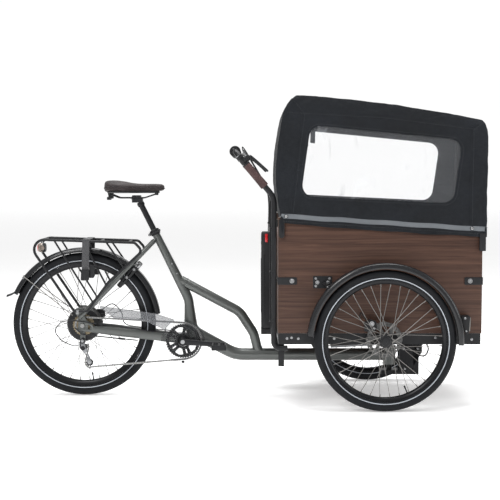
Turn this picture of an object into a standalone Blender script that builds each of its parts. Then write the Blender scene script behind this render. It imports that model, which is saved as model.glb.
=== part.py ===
"""Cargo trike: one driven rear wheel, and a wooden box with a rain canopy between two front wheels.

Units are metres. +X is forward, +Y is the rider's left and +Z is up. The ground is Z = 0, and the
origin lies on it, in the middle of the length and the width. The box, the handlebar and the front
wheels steer together about a kingpin under the box.
"""

import math

import bmesh
import bpy
from mathutils import Matrix, Quaternion, Vector

# Driving dimensions
OVERALL_LENGTH = 2.176
CLEARANCE = 0.0004  # between neighbours that touch or rest on each other

REAR_RADIUS = 0.3335
REAR_AXLE = Vector((-0.7245, 0, REAR_RADIUS))
REAR_RIM_INNER = 0.2650
FRONT_RADIUS = 0.309
FRONT_AXLE_X = 0.636
FRONT_RIM_INNER = 0.2475
TRACK = 0.800
TYRE_SECTION = 0.027  # radius of the tyre's cross-section
BEAD_ANGLE = math.radians(130)  # the tyre's section is open below this angle, where the rim sits
SPOKES = 36
WHEEL_STEPS = 36

BOTTOM_BRACKET = Vector((-0.262, 0, 0.259))
CRANK_LENGTH = 0.1695
CRANK_DROP = math.radians(4.4)  # how far the forward crank points below the horizontal
CHAIN_LINE = -0.048
CHAINRING_PITCH = 0.0850
SPROCKET_PITCH = 0.0366
CHAIN_RADIUS = 0.0040
GUIDE_PULLEY = Vector((-0.722, CHAIN_LINE, 0.231))
TENSION_PULLEY = Vector((-0.696, CHAIN_LINE, 0.159))
PULLEY_PITCH = 0.0222

SEAT_TUBE_TOP = Vector((-0.400, 0, 0.775))
SEAT_ANGLE = math.radians(26.5)  # how far the seatpost leans back from the vertical
SEATPOST_RADIUS = 0.0135
STAY_Y = 0.068  # centre of each rear dropout

KINGPIN = Vector((0.700, 0, 0.190))
KINGPIN_RADIUS = 0.0125
BOX_REAR = 0.172
BOX_FRONT = 1.071
BOX_HALF_WIDTH = 0.310
BOX_BOTTOM = 0.330
PANEL = 0.015  # plywood thickness
RAIL_BOTTOM = 0.2802
UPRIGHT_X = 0.154
UPRIGHT_Y = 0.300
BAR_RADIUS = 0.0125
BAR_TOP = Vector((-0.0175, 0, 1.1315))
BAR_KNEE = Vector((UPRIGHT_X, 0, 0.930))
CANOPY_HALF_WIDTH = 0.322
CANOPY_WALL = 0.004

UP_SEATPOST = Vector((-math.sin(SEAT_ANGLE), 0, math.cos(SEAT_ANGLE)))
AHEAD_OF_SEATPOST = Vector((math.cos(SEAT_ANGLE), 0, math.sin(SEAT_ANGLE)))
SIDES = (("right", -1), ("left", 1))

PAINTS = {
    "frame_green": ((0.107, 0.125, 0.115), 0.35, 0.6),
    "black_steel": ((0.025, 0.026, 0.028), 0.4, 0.5),
    "black_plastic": ((0.02, 0.02, 0.022), 0.5, 0.0),
    "tyre": ((0.018, 0.018, 0.02), 0.8, 0.0),
    "rim": ((0.02, 0.02, 0.022), 0.4, 0.8),
    "steel": ((0.55, 0.54, 0.52), 0.3, 1.0),
    "wood": ((0.095, 0.05, 0.035), 0.5, 0.0),
    "grip": ((0.09, 0.05, 0.05), 0.7, 0.0),
    "canopy": ((0.012, 0.015, 0.02), 0.8, 0.0),
    "clear": ((0.8, 0.82, 0.84), 0.1, 0.0),
    "saddle": ((0.08, 0.065, 0.065), 0.6, 0.0),
    "red": ((0.5, 0.02, 0.02), 0.3, 0.0),
}


# ---------------------------------------------------------------- scene and materials

for leftover in list(bpy.data.objects):
    bpy.data.objects.remove(leftover)

trike = bpy.data.collections.new("cargo_trike")
cutters = bpy.data.collections.new("cutters")
bpy.context.scene.collection.children.link(trike)
bpy.context.scene.collection.children.link(cutters)
cutters.hide_render = True


def paint(name, paint_name):
    """A material of its own for the sub-part called name, in one of the PAINTS."""
    colour, roughness, metallic = PAINTS[paint_name]
    material = bpy.data.materials.new(name)
    material.use_nodes = True
    shader = material.node_tree.nodes["Principled BSDF"]
    shader.inputs["Base Color"].default_value = (*colour, 1)
    shader.inputs["Roughness"].default_value = roughness
    shader.inputs["Metallic"].default_value = metallic
    return material


# ---------------------------------------------------------------- shapes


def new_object(name, data):
    obj = bpy.data.objects.new(name, data)
    trike.objects.link(obj)
    return obj


def from_bmesh(name, bm):
    mesh = bpy.data.meshes.new(name)
    bm.to_mesh(mesh)
    bm.free()
    return new_object(name, mesh)


def block(name, low, high):
    """A box between two corners."""
    low, high = Vector(low), Vector(high)
    bm = bmesh.new()
    place = Matrix.LocRotScale((low + high) / 2, None, high - low)
    bmesh.ops.create_cube(bm, size=1, matrix=place)
    return from_bmesh(name, bm)


def bar(name, start, end, width, height):
    """A straight bar of rectangular section: width runs across, height in the upright plane."""
    start, end = Vector(start), Vector(end)
    along = (end - start).normalized()
    across = Vector((0, 0, 1)).cross(along).normalized()
    turn = Matrix((along, across, along.cross(across))).transposed()
    size = Vector(((end - start).length, width, height))
    bm = bmesh.new()
    place = Matrix.LocRotScale((start + end) / 2, turn.to_quaternion(), size)
    bmesh.ops.create_cube(bm, size=1, matrix=place)
    return from_bmesh(name, bm)


def rod(name, start, end, radius, sides=16, end_radius=None):
    """A round rod or cone between two points."""
    start, end = Vector(start), Vector(end)
    along = end - start
    turn = along.to_track_quat("Z", "Y").to_matrix().to_4x4()
    bm = bmesh.new()
    bmesh.ops.create_cone(
        bm,
        cap_ends=True,
        segments=sides,
        radius1=radius,
        radius2=radius if end_radius is None else end_radius,
        depth=along.length,
        matrix=Matrix.Translation((start + end) / 2) @ turn,
    )
    return from_bmesh(name, bm)


def turned(name, profile, centre, steps, outward=1, closed=True):
    """A profile of (radius, offset along Y) turned about the Y axis through centre.

    The profile runs down its outer side, from the greatest offset to the least. A closed one ends
    with its bore, and an open one starts and ends on the axis. With outward -1 the offsets run
    towards -Y.
    """
    edges = [(i, i + 1) for i in range(len(profile) - 1)]
    if closed:
        edges.append((len(profile) - 1, 0))
    mesh = bpy.data.meshes.new(name)
    mesh.from_pydata([(radius, 0, offset) for radius, offset in profile], edges, [])
    obj = new_object(name, mesh)
    obj.location = centre
    obj.rotation_euler = (-outward * math.pi / 2, 0, 0)
    screw = obj.modifiers.new("turn", "SCREW")
    screw.steps = steps
    screw.render_steps = steps
    screw.use_merge_vertices = True
    screw.merge_threshold = 0.0001
    return obj


def mesh_from_curve(name, curve, place=None):
    """The closed mesh of a curve: its caps are welded on, and the curve is removed."""
    guide = new_object(name + "_curve", curve)
    if place:
        guide.matrix_world = place
    bpy.context.view_layer.update()
    evaluated = guide.evaluated_get(bpy.context.evaluated_depsgraph_get())
    mesh = bpy.data.meshes.new_from_object(evaluated)
    mesh.transform(guide.matrix_world)
    bm = bmesh.new()
    bm.from_mesh(mesh)
    bmesh.ops.remove_doubles(bm, verts=bm.verts, dist=0.00001)
    bmesh.ops.recalc_face_normals(bm, faces=bm.faces)
    bpy.data.objects.remove(guide)
    bpy.data.curves.remove(curve)
    bpy.data.meshes.remove(mesh)
    return from_bmesh(name, bm)


def tube(name, points, radius, sides=12, scales=None, closed=False):
    """A round tube through points, with filled ends; scales changes its radius along the way."""
    curve = bpy.data.curves.new(name, "CURVE")
    curve.dimensions = "3D"
    curve.bevel_depth = radius
    curve.bevel_resolution = sides // 2 - 2
    curve.use_fill_caps = not closed
    spline = curve.splines.new("POLY")
    spline.use_cyclic_u = closed
    spline.points.add(len(points) - 1)
    for index, point in enumerate(points):
        spline.points[index].co = (*point, 1)
        spline.points[index].radius = scales[index] if scales else 1
    return mesh_from_curve(name, curve)


def plate(name, outlines, y_low, y_high):
    """A flat plate between two Y planes; the first outline of (x, z) is its edge, the rest holes."""
    curve = bpy.data.curves.new(name, "CURVE")
    curve.dimensions = "2D"
    curve.fill_mode = "BOTH"
    curve.extrude = (y_high - y_low) / 2
    for outline in outlines:
        spline = curve.splines.new("POLY")
        spline.use_cyclic_u = True
        spline.points.add(len(outline) - 1)
        for index, (x, z) in enumerate(outline):
            spline.points[index].co = (x, z, 0, 1)
    middle = Matrix.Translation((0, (y_low + y_high) / 2, 0))
    return mesh_from_curve(name, curve, middle @ Matrix.Rotation(math.pi / 2, 4, "X"))


def bend(corners, radii, steps=5):
    """The points of a path through corners, with each inner corner rounded."""
    corners = [Vector(corner) for corner in corners]
    path = [corners[0]]
    for before, corner, after, radius in zip(corners, corners[1:], corners[2:], radii):
        back = (before - corner).normalized()
        ahead = (after - corner).normalized()
        half = back.angle(ahead) / 2
        centre = corner + (back + ahead).normalized() * radius / math.sin(half)
        first = corner + back * radius / math.tan(half) - centre
        last = corner + ahead * radius / math.tan(half) - centre
        turn = first.rotation_difference(last)
        for step in range(steps + 1):
            path.append(centre + Quaternion().slerp(turn, step / steps) @ first)
    path.append(corners[-1])
    return path


def rounded(corners, radius, steps=4):
    """A closed (x, z) outline through corners, each rounded by the same radius."""
    ring = [Vector((x, 0, z)) for x, z in corners]
    outline = []
    for before, corner, after in zip(ring[-1:] + ring[:-1], ring, ring[1:] + ring[:1]):
        outline += bend([before, corner, after], [radius], steps)[1:-1]
    return [(point.x, point.z) for point in outline]


def circle(centre, radius, sides):
    """A circle of (x, z) points about a centre."""
    turns = [math.tau * i / sides for i in range(sides)]
    return [(centre.x + radius * math.cos(t), centre.z + radius * math.sin(t)) for t in turns]


def polar(centre, radius, degrees, y=0.0):
    """A point in the wheel's plane, at an angle above the forward direction."""
    angle = math.radians(degrees)
    return Vector((centre.x + radius * math.cos(angle), y, centre.z + radius * math.sin(angle)))


def join(obj, operation, helpers):
    """Joins or cuts obj with each helper, which becomes a hidden guide."""
    for helper in helpers:
        trike.objects.unlink(helper)
        cutters.objects.link(helper)
        helper.hide_render = True
        helper.display_type = "WIRE"
        boolean = obj.modifiers.new(helper.name, "BOOLEAN")
        boolean.operation = operation
        boolean.object = helper
    return obj


def weld(obj, *helpers):
    return join(obj, "UNION", helpers)


def cut(obj, *helpers):
    return join(obj, "DIFFERENCE", helpers)


def finish(obj, paint_name, origin=None):
    """Gives a sub-part its material, smooth shading and its origin."""
    obj.data.materials.clear()
    obj.data.materials.append(paint(obj.name, paint_name))
    if obj.data.polygons:
        obj.data.shade_smooth()
        obj.data.set_sharp_from_angle(angle=math.radians(35))
    if origin is not None:
        obj.data.transform(Matrix.Translation(-Vector(origin)))
        obj.location = origin
    return obj


def body(name, pivot, pieces):
    """An empty on a joint's axis, which carries the pieces that move with it."""
    carrier = bpy.data.objects.new("pivot_" + name, None)
    trike.objects.link(carrier)
    carrier.location = pivot
    bpy.context.view_layer.update()
    for piece in pieces:
        piece.parent = carrier
        piece.matrix_parent_inverse = carrier.matrix_world.inverted()


# ---------------------------------------------------------------- wheels


def tyre(name, centre, outer_radius):
    """A tyre of round section, open towards the rim."""
    middle = outer_radius - TYRE_SECTION
    count = 6
    profile = []
    for i in range(count + 1):
        angle = BEAD_ANGLE * (1 - 2 * i / count)
        radius = middle + TYRE_SECTION * math.cos(angle)
        profile.append((radius, TYRE_SECTION * math.sin(angle)))
    return finish(turned(name, profile, centre, WHEEL_STEPS), "tyre")


def rim(name, centre, outer_radius, inner_radius):
    """A double-wall rim that fills the space under the tyre's bead."""
    seat = outer_radius - TYRE_SECTION * (1 - math.cos(BEAD_ANGLE)) - CLEARANCE
    half = 0.0165
    crown = 0.010
    profile = [(seat, half), (seat, -half), (inner_radius, -crown), (inner_radius, crown)]
    return finish(turned(name, profile, centre, WHEEL_STEPS), "rim")


def spokes(name, centre, hub_radius, rim_radius, flange):
    """Straight spokes that leave the two flanges in turn."""
    bm = bmesh.new()
    for i in range(SPOKES):
        side = 1 if i % 2 else -1
        degrees = 360 * i / SPOKES
        start = polar(centre, hub_radius, degrees, centre.y + side * flange)
        end = polar(centre, rim_radius, degrees, centre.y + side * 0.003)
        along = end - start
        turn = along.to_track_quat("Z", "Y").to_matrix().to_4x4()
        place = Matrix.Translation((start + end) / 2) @ turn
        bmesh.ops.create_cone(
            bm, cap_ends=True, segments=3, radius1=0.0012, radius2=0.0012,
            depth=along.length, matrix=place,
        )
    return from_bmesh(name, bm)


def rear_wheel():
    """Hub motor with its freehub and brake disc, spokes, rim and tyre."""
    bore = 0.0065
    hub_profile = [
        (bore, 0.0580), (0.018, 0.0580), (0.018, 0.0520), (0.080, 0.0520), (0.080, 0.0500),
        (0.022, 0.0500), (0.022, 0.0415), (0.072, 0.0400), (0.080, 0.0320), (0.080, -0.0240),
        (0.070, -0.0340), (0.016, -0.0345), (0.016, -0.0605), (bore, -0.0605),
    ]
    hub = turned("rear_hub_motor", hub_profile, REAR_AXLE, 24)
    spoke_set = spokes("rear_spokes", REAR_AXLE, 0.0770, REAR_RIM_INNER - CLEARANCE, 0.018)
    weld(hub, spoke_set)
    finish(hub, "black_steel")
    pieces = [
        tyre("rear_tyre", REAR_AXLE, REAR_RADIUS),
        rim("rear_rim", REAR_AXLE, REAR_RADIUS, REAR_RIM_INNER),
        hub,
    ]
    body("rear_wheel", REAR_AXLE, pieces)


def front_wheel(side_name, side):
    """Hub with its brake disc and cap, spokes, rim and tyre."""
    centre = Vector((FRONT_AXLE_X, side * TRACK / 2, FRONT_RADIUS))
    bore = 0.0105
    hub_profile = [
        (0, 0.0385), (0.021, 0.0385), (0.021, 0.0260), (0.029, 0.0240), (0.029, 0.0200),
        (0.018, 0.0160), (0.018, -0.0160), (0.029, -0.0200), (0.029, -0.0240), (0.020, -0.0280),
        (0.020, -0.0365), (0.080, -0.0365), (0.080, -0.0385), (0.020, -0.0385), (0.020, -0.0460),
        (bore, -0.0460), (bore, 0.0330), (0, 0.0330),
    ]
    hub = turned(f"front_{side_name}_hub", hub_profile, centre, 18, side, closed=False)
    reach = FRONT_RIM_INNER - CLEARANCE
    weld(hub, spokes(f"front_{side_name}_spokes", centre, 0.0265, reach, 0.022))
    finish(hub, "black_steel")
    pieces = [
        tyre(f"front_{side_name}_tyre", centre, FRONT_RADIUS),
        rim(f"front_{side_name}_rim", centre, FRONT_RADIUS, FRONT_RIM_INNER),
        hub,
    ]
    body(f"front_{side_name}_wheel", centre, pieces)


# ---------------------------------------------------------------- rear frame


def frame():
    """One welded frame: seat tube and main tube in one S, top tube, stays and head tube."""
    spine_corners = [
        SEAT_TUBE_TOP,
        (-0.2375, 0, 0.4485),
        (-0.2265, 0, 0.3000),
        (-0.0200, 0, 0.1900),
        (KINGPIN.x - 0.015, 0, 0.1900),
    ]
    path = bend(spine_corners, (0.12, 0.06, 0.15), 4)
    corner_scales = (0.0175, 0.0225, 0.0310, 0.0285, 0.0280)
    scales = [corner_scales[0]]
    for radius in corner_scales[1:-1]:
        scales += [radius] * 5
    scales.append(corner_scales[-1])
    spine = tube("frame", path, 1.0, 14, scales)

    top_path = bend([(-0.275, 0, 0.538), (0.0, 0, 0.3900), (0.065, 0, 0.290), (0.088, 0, 0.195)],
                    (0.10, 0.10), 3)
    pieces = [tube("top_tube", top_path, 0.0225, 10)]
    shell_half = 0.0365
    shell_start = BOTTOM_BRACKET - Vector((0, shell_half, 0))
    shell_end = BOTTOM_BRACKET + Vector((0, shell_half, 0))
    pieces.append(rod("bottom_bracket_shell", shell_start, shell_end, 0.0230, 16))
    pieces.append(block("bottom_bracket_bridge", (-0.305, -0.0340, 0.240), (-0.195, 0.0340, 0.296)))
    head_low = KINGPIN - Vector((0, 0, 0.045))
    head_high = KINGPIN + Vector((0, 0, 0.042))
    pieces.append(rod("head_tube", head_low, head_high, 0.030, 16))
    for side_name, side in SIDES:
        knee = (-0.400, side * 0.0390, 0.2810)
        tip = (-0.700, side * 0.0665, 0.3180)
        stay = bar(f"{side_name}_stay_front", (-0.270, side * 0.0300, 0.2650), knee, 0.012, 0.040)
        pieces.append(stay)
        past_knee = (-0.395, side * 0.0386, 0.2804)
        pieces.append(bar(f"{side_name}_stay_rear", past_knee, tip, 0.0119, 0.0398))
        seat_stay = [(-0.384, side * 0.008, 0.736), (-0.485, side * 0.047, 0.632),
                     (-0.740, side * STAY_Y, 0.368)]
        pieces.append(tube(f"{side_name}_seat_stay", bend(seat_stay, (0.08,), 3), 0.0115, 8))
        ends = sorted((side * (STAY_Y - 0.004), side * (STAY_Y + 0.004)))
        outline = rounded([(-0.768, 0.300), (-0.675, 0.286), (-0.675, 0.350), (-0.725, 0.415),
                           (-0.768, 0.415)], 0.010, 2)
        pieces.append(plate(f"{side_name}_dropout", [outline], *ends))
    hanger_y = -(STAY_Y + 0.0038)
    hanger = block("hanger", (-0.736, hanger_y, 0.252), (-0.712, -STAY_Y + 0.0038, 0.310))
    pieces.append(hanger)
    weld(spine, *pieces)

    bore_end = SEAT_TUBE_TOP - UP_SEATPOST * 0.170
    bore_start = SEAT_TUBE_TOP + UP_SEATPOST * 0.010
    axle_reach = Vector((0, 0.1, 0))
    cut(
        spine,
        rod("seatpost_bore", bore_end, bore_start, SEATPOST_RADIUS + CLEARANCE, 16),
        rod("spindle_bore", BOTTOM_BRACKET - axle_reach, BOTTOM_BRACKET + axle_reach, 0.0095, 16),
        rod("axle_bore", REAR_AXLE - axle_reach, REAR_AXLE + axle_reach, 0.0065, 12),
        rod("kingpin_bore", KINGPIN - Vector((0, 0, 0.1)), KINGPIN + Vector((0, 0, 0.1)),
            KINGPIN_RADIUS + CLEARANCE, 16),
    )
    finish(spine, "frame_green")


def seat_clamp():
    """Collar round the top of the seat tube, with a quick-release lever beside it."""
    middle = SEAT_TUBE_TOP - UP_SEATPOST * 0.0145
    half = UP_SEATPOST * 0.0125
    collar = rod("seat_collar", middle - half, middle + half, 0.0230, 20)
    ear = middle - AHEAD_OF_SEATPOST * 0.026
    across = Vector((0, 0.0245, 0))
    weld(collar, rod("collar_bolt", ear - across, ear + across, 0.0070, 10))
    cut(collar, rod("collar_bore", middle - half * 2, middle + half * 2, 0.0191, 20))
    finish(collar, "black_steel")

    pivot = ear + Vector((0, -0.0292, 0))
    thick = UP_SEATPOST * 0.0060
    lever = bar("seat_clamp_lever", pivot, pivot + AHEAD_OF_SEATPOST * 0.056, 0.0070, 0.0100)
    weld(lever, rod("lever_boss", pivot - thick, pivot + thick, 0.0043, 10))
    finish(lever, "black_steel", pivot)
    body("seat_clamp_lever", pivot, [lever])


def seatpost_and_saddle():
    """Seatpost, saddle rails with their clamp, and the saddle."""
    low = SEAT_TUBE_TOP - UP_SEATPOST * 0.105
    high = SEAT_TUBE_TOP + UP_SEATPOST * 0.1400
    post = rod("seatpost", low, high, SEATPOST_RADIUS, 16)
    finish(post, "black_steel", SEAT_TUBE_TOP)

    clamp = block("saddle_rails", (-0.510, -0.028, 0.9075), (-0.445, 0.028, 0.9340))
    rails = []
    for side_name, side in SIDES:
        wire = [(-0.600, side * 0.034, 0.9405), (-0.555, side * 0.022, 0.9220),
                (-0.440, side * 0.022, 0.9220), (-0.385, side * 0.010, 0.9405)]
        rails.append(tube(f"{side_name}_rail", bend(wire, (0.03, 0.03), 3), 0.0035, 8))
    finish(weld(clamp, *rails), "black_steel")

    outline = rounded([(-0.618, -0.080), (-0.622, 0.080), (-0.560, 0.098), (-0.500, 0.070),
                       (-0.440, 0.026), (-0.345, 0.018), (-0.345, -0.018), (-0.440, -0.026),
                       (-0.500, -0.070), (-0.560, -0.098)], 0.012, 2)
    pad = plate("saddle", [outline], 0.9460, 0.9980)
    # The outline is drawn as plan view (x, y), so the plate is laid flat.
    pad.data.transform(Matrix.Rotation(-math.pi / 2, 4, "X"))
    pad.data.transform(Matrix.Scale(-1, 4, (0, 0, 1)))
    pad.data.flip_normals()
    finish(pad, "saddle")
    body("seatpost", SEAT_TUBE_TOP, [post, clamp, pad])


def mudguard_shell(name, centre, radius, first, last, half_width):
    """A thin channel over a wheel, from one angle to another, in degrees above forward."""
    skin = 0.0025
    lip = 0.010
    section = [
        (radius - lip, half_width), (radius, half_width - 0.010), (radius, -half_width + 0.010),
        (radius - lip, -half_width),
    ]
    steps = 16
    bm = bmesh.new()
    rows = []
    for step in range(steps + 1):
        degrees = first + (last - first) * step / steps
        rows.append([bm.verts.new(polar(centre, r, degrees, centre.y + y)) for r, y in section])
    for row, next_row in zip(rows, rows[1:]):
        for a, b, c, d in zip(row, row[1:], next_row[1:], next_row):
            bm.faces.new((a, b, c, d))
    bmesh.ops.recalc_face_normals(bm, faces=bm.faces)
    shell = from_bmesh(name, bm)
    solid = shell.modifiers.new("skin", "SOLIDIFY")
    solid.thickness = skin
    solid.offset = -1 if outward_facing(shell, centre) else 1
    return shell


def outward_facing(shell, centre):
    """Whether the shell's faces point away from the wheel's centre."""
    face = shell.data.polygons[len(shell.data.polygons) // 2]
    return face.normal.dot(face.center - Vector((centre.x, centre.y, centre.z))) > 0


def rear_mudguard():
    """Rear mudguard with a flap at its end, and the wire stay that holds it."""
    radius = 0.358
    shell = mudguard_shell("rear_mudguard", REAR_AXLE, radius, 8, 156, 0.0300)
    start = polar(REAR_AXLE, radius - 0.0015, 150)
    tip = Vector((-OVERALL_LENGTH / 2, 0, 0.465))
    flap_outline = [(start.x, start.z), (-1.050, 0.4790), (tip.x, tip.z), (tip.x + 0.003, 0.4610),
                    (-1.046, 0.4745), (start.x + 0.004, start.z - 0.003)]
    flap = plate("mudguard_flap", [flap_outline], -0.024, 0.024)

    # The wire stay is riveted on where it crosses the outside of the shell.
    crest = polar(REAR_AXLE, radius + 0.0010, 141)
    route = []
    for side in (-1, 1):
        foot = (-0.7712, side * 0.0660, 0.3800)
        knee = (crest.x, side * 0.0345, crest.z)
        route += [foot, knee] if side < 0 else [knee, foot]
    stay = tube("mudguard_stay", bend(route, (0.008, 0.008), 3), 0.0022, 8)
    finish(weld(shell, flap, stay), "black_plastic")


def rack():
    """Luggage rack: a bent loop on each side, joined by cross bars, with three struts a side."""
    corners = [(-0.700, 0.4020), (-0.760, 0.4020), (-0.982, 0.7340), (-0.480, 0.7180), (-0.445, 0.6800),
               (-0.6000, 0.5375), (-0.700, 0.4020)]
    half = 0.090
    pieces = []
    loops = []
    for side_name, side in SIDES:
        y = side * half
        path = [(x, y, z) for x, z in corners]
        route = bend(path, (0.008, 0.045, 0.022, 0.022, 0.02), 3)[:-1]
        loops.append(tube(f"{side_name}_rack_loop", route, 0.0062, 6, closed=True))
        for number, (top_x, low) in enumerate((
            (-0.850, (-0.672, 0.440)), (-0.716, (-0.612, 0.5215)), (-0.612, (-0.530, 0.6020)),
        )):
            slope = (0.7180 - 0.7340) / (-0.480 + 0.982)
            top = (top_x, y, 0.7340 + slope * (top_x + 0.982))
            foot = (low[0], y, low[1])
            pieces.append(rod(f"{side_name}_rack_strut_{number}", top, foot, 0.0043, 7))
        boss_y = sorted((side * (STAY_Y + 0.0044), side * half))
        boss = rod(f"{side_name}_rack_boss", (-0.744, boss_y[0], 0.4025), (-0.744, boss_y[1], 0.4025),
                   0.0045, 9)
        pieces.append(boss)
    for number, x in enumerate((-0.905, -0.640, -0.510)):
        z = 0.7340 + (0.7180 - 0.7340) / 0.502 * (x + 0.982)
        pieces.append(rod(f"rack_cross_bar_{number}", (x, -half, z), (x, half, z), 0.0048, 7))
    base = loops[0]
    base.name = "rear_rack"
    weld(base, loops[1], *pieces)
    finish(base, "black_steel")

    lamp = rod("tail_lamp", (-0.940, 0, 0.690), (-0.902, 0, 0.690), 0.0220, 20)
    weld(lamp, bar("tail_lamp_tab", (-0.905, 0, 0.700), (-0.905, 0, 0.7240), 0.014, 0.004))
    finish(lamp, "red")


def ring_lock():
    """Horseshoe lock that straddles the tyre and the mudguard, on the seat stays."""
    angle = 47.4
    radial = polar(Vector(), 1, angle)
    bridge = bar("ring_lock", REAR_AXLE + radial * 0.3620, REAR_AXLE + radial * 0.3920, 0.104, 0.026)
    pieces = []
    for side_name, side in SIDES:
        aside = Vector((0, side * 0.0435, 0))
        start = REAR_AXLE + radial * 0.2420 + aside
        end = REAR_AXLE + radial * 0.3640 + aside
        pieces.append(bar(f"{side_name}_lock_arm", start, end, 0.0150, 0.0255))
    finish(weld(bridge, *pieces), "black_plastic")


def rear_brake_and_cables():
    """Caliper over the rear disc, and the cable of the hub motor along the chain stay."""
    caliper = block("rear_brake_caliper", (-0.690, 0.0425, 0.3530), (-0.634, 0.0605, 0.3980))
    cut(caliper, block("rear_disc_slot", (-0.750, 0.0490, 0.300), (-0.6425, 0.0530, 0.4500)))
    finish(caliper, "black_steel")
    route = [(-0.7600, -0.0780, 0.3250), (-0.7250, -0.0900, 0.2950), (-0.650, -0.0820, 0.2850),
             (-0.560, -0.0720, 0.2740), (-0.470, -0.0660, 0.2640)]
    path = bend(route, (0.02, 0.04, 0.1), 3)
    finish(tube("motor_cable", path, 0.0030, 8), "black_plastic")


# ---------------------------------------------------------------- drivetrain


def tangent_arc(centre, radius, first, last, clockwise, steps):
    """Points of a chain wrapped on a sprocket, between two angles in degrees."""
    sweep = (first - last) % 360 if clockwise else (last - first) % 360
    sign = -1 if clockwise else 1
    return [polar(centre, radius, first + sign * sweep * i / steps, CHAIN_LINE)
            for i in range(steps + 1)]


def chain_path():
    """The chain's closed route: chainring, sprocket, guide pulley, tension pulley."""
    sprocket = Vector((REAR_AXLE.x, CHAIN_LINE, REAR_AXLE.z))
    ring = Vector((BOTTOM_BRACKET.x, CHAIN_LINE, BOTTOM_BRACKET.z))
    top = chain_tangent(ring, CHAINRING_PITCH, sprocket, SPROCKET_PITCH, 1)
    to_guide = cross_tangent(sprocket, SPROCKET_PITCH, GUIDE_PULLEY, PULLEY_PITCH)
    to_tension = cross_tangent(GUIDE_PULLEY, PULLEY_PITCH, TENSION_PULLEY, PULLEY_PITCH, True)
    lower = chain_tangent(ring, CHAINRING_PITCH, TENSION_PULLEY, PULLEY_PITCH, -1)
    points = tangent_arc(ring, CHAINRING_PITCH, lower, top, False, 14)
    points += tangent_arc(sprocket, SPROCKET_PITCH, top, to_guide, False, 7)
    points += tangent_arc(GUIDE_PULLEY, PULLEY_PITCH, to_guide + 180, to_tension, True, 6)
    points += tangent_arc(TENSION_PULLEY, PULLEY_PITCH, to_tension + 180, lower, False, 7)
    return points


def chain_tangent(big, big_radius, small, small_radius, side):
    """Angle of the points where a straight run touches two sprockets on the same side."""
    between = small - big
    heading = math.degrees(math.atan2(between.z, between.x))
    lean = math.degrees(math.acos((big_radius - small_radius) / between.length))
    return heading - side * lean


def cross_tangent(first, first_radius, second, second_radius, from_clockwise=False):
    """Angle on the first sprocket where the run crosses over to the second one's other side."""
    between = second - first
    heading = math.degrees(math.atan2(between.z, between.x))
    lean = math.degrees(math.acos((first_radius + second_radius) / between.length))
    return heading + lean if from_clockwise else heading - lean


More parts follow.
